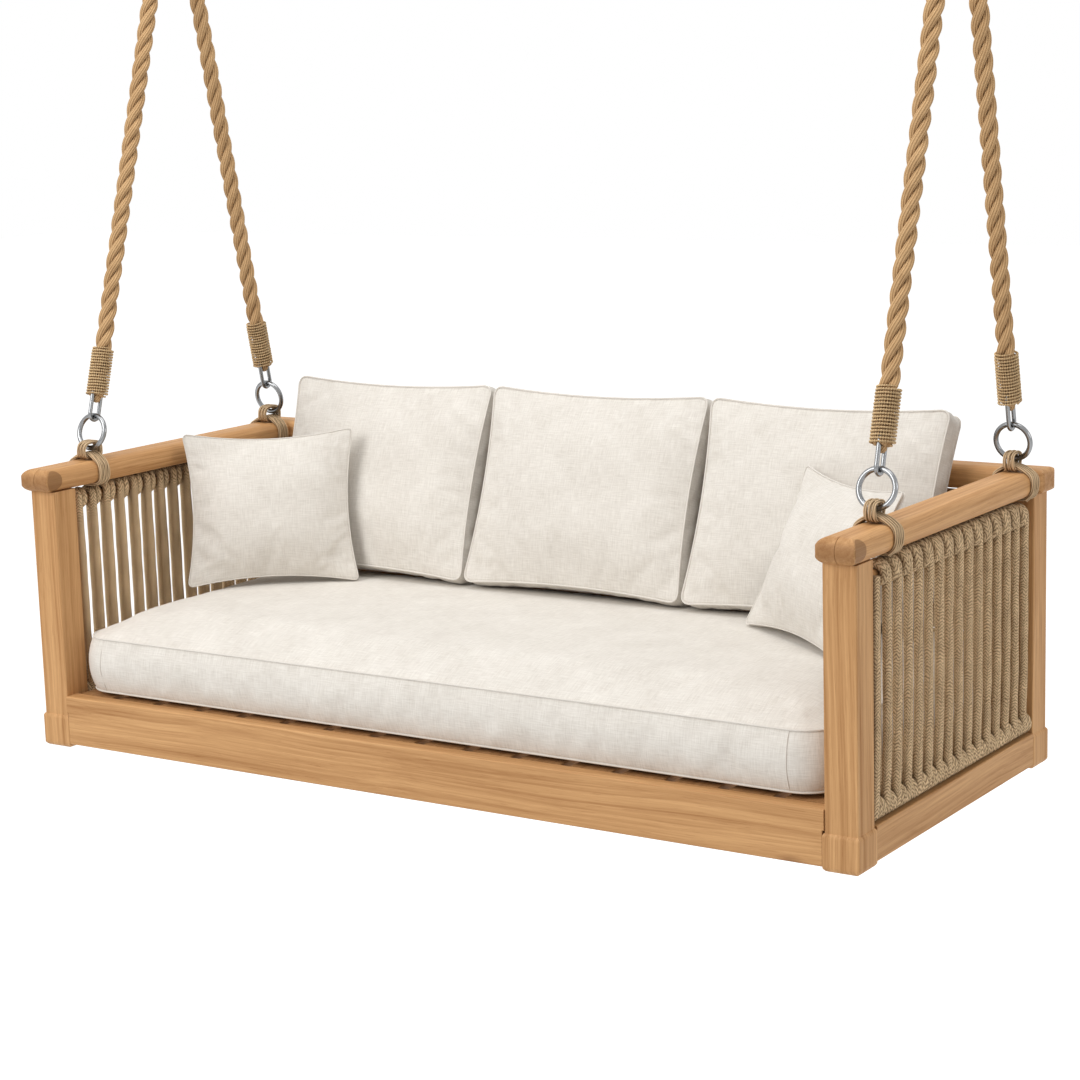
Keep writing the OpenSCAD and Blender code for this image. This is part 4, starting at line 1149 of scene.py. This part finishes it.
# Each deep colour is the painted shade in that cord's grooves.
CORDAGE = {
    "_laid_rope": cordage("hemp", laid, yarns=YARNS, rows=0, weight=0.45,
                          pale=linear(222, 184, 136), deep=linear(132, 94, 56)),
    "_wound_side": cordage("side_jute", plait, yarns=4, rows=150, weight=0.52, pale=linear(255, 222, 176),
                           deep=linear(84, 56, 30), distance=0.0014, crevice_shade=0.22),
    "_twine": cordage("twine_jute", laid, yarns=TWINE_YARNS, rows=0, weight=0.45, pale=linear(255, 224, 174),
                      deep=linear(158, 116, 72), distance=0.0004, crevice_shade=0.9),
    "_tie": cordage("lash_jute", laid, yarns=LASH_YARNS, rows=0, weight=0.6, pale=linear(226, 196, 156),
                    deep=linear(92, 66, 42), distance=0.0004),
}
for piece in bpy.data.objects:
    for ending, material in CORDAGE.items():
        if piece.name.endswith(ending):
            dress(piece, material)
print("ropes finished")

# %% [markdown]
# ## The steel
# The rings and links are polished. Small differences in roughness keep them from looking like
# new chrome. The ceiling plates are brushed.

# %% Finish the steel
def steel(name, shade, low, high, scale):
    """Bare metal whose roughness wanders between low and high."""
    material, tree, shader = finish_of(name)
    sight = put(tree, "TexCoord").outputs
    wear = drawn_noise(tree, sight["Object"], scale, 4, 0.6)
    feed(tree, shader, {"Base Color": shade, "Metallic": 1.0,
                        "Roughness": spread(tree, wear, 0.3, 0.7, low, high)})
    return material


polished = steel("polished_steel", linear(142, 143, 144), low=0.14, high=0.30, scale=(90, 90, 90))
brushed = steel("brushed_steel", linear(140, 141, 142), low=0.32, high=0.48, scale=(30, 600, 30))
for node in BODY_OF:
    if node.endswith(("_ring", "_link", "_links")) or node == "hanger_pins":
        dress(frame["nodes"][node], polished)
    elif node.endswith("_hanger"):
        dress(frame["nodes"][node], brushed)
print("steel finished")

# %% [markdown]
# ## Floor, light and sky
# The bed hangs, so the floor lies well below it, low enough to stay out of the photograph's view.
# A broad lamp stands at the front left, another hangs overhead, and a smaller one on the right
# edges the ropes of that side. The sky fills the shadows, and what the camera and the polished
# steel see of it is plain white.

# %% Light the bed
FLOOR_DROP = 1.35
FLOOR_SIZE = 60.0
FLOOR_GLOW = 0.62           # what makes the floor white to the camera, where no shadow lies
SKY_LIGHT = 0.52

floor_mesh = bmesh.new()
bmesh.ops.create_grid(floor_mesh, x_segments=1, y_segments=1, size=FLOOR_SIZE / 2)
bmesh.ops.translate(floor_mesh, vec=(0, 0, cad_box[0][2] - FLOOR_DROP), verts=floor_mesh.verts)
floor_data = bpy.data.meshes.new("floor")
floor_mesh.to_mesh(floor_data)
floor_mesh.free()
floor = placed("floor", floor_data)
material, tree, shader = finish_of("pale_floor")
ray = put(tree, "LightPath").outputs
seen = reckon(tree, "MAXIMUM", ray["Is Camera Ray"], ray["Is Glossy Ray"])
feed(tree, shader, {"Base Color": (0.8, 0.8, 0.8, 1), "Roughness": 0.9, "Emission Color": (1, 1, 1, 1),
                    "Emission Strength": times(tree, seen, FLOOR_GLOW)})
dress(floor, material)

world = bpy.data.worlds.new("sky")
scene.world = world
world.use_nodes = True
tree = world.node_tree
sky = next(n for n in tree.nodes if n.type == "BACKGROUND")
ray = put(tree, "LightPath").outputs
seen = reckon(tree, "MAXIMUM", ray["Is Glossy Ray"], ray["Is Transmission Ray"])
seen = reckon(tree, "MAXIMUM", ray["Is Camera Ray"], seen)
feed(tree, sky, {"Color": (1, 1, 1, 1), "Strength": spread(tree, seen, 0.0, 1.0, SKY_LIGHT, 1.0)})


def lamp(name, place, aim, size, power):
    data = bpy.data.lights.new(name, "AREA")
    data.shape = "SQUARE"
    data.size = size
    data.energy = power
    holder = placed(name, data)
    holder.location = place
    holder.rotation_euler = (Vector(aim) - Vector(place)).to_track_quat("-Z", "Y").to_euler()


MIDDLE = (0, 0, -1.5)
lamp("key", (-2.2, -6.0, 2.5), MIDDLE, size=4.0, power=290)
lamp("overhead", (0.5, -0.5, 3.5), MIDDLE, size=4.0, power=120)
lamp("side", (6.5, 0.5, 0.5), MIDDLE, size=2.5, power=60)
print("three lamps, a floor and a sky")

# %% [markdown]
# ## Standard colours
# The view is Standard, so a colour shows as it was mixed.

# %% Close
scene.view_settings.view_transform = "Standard"
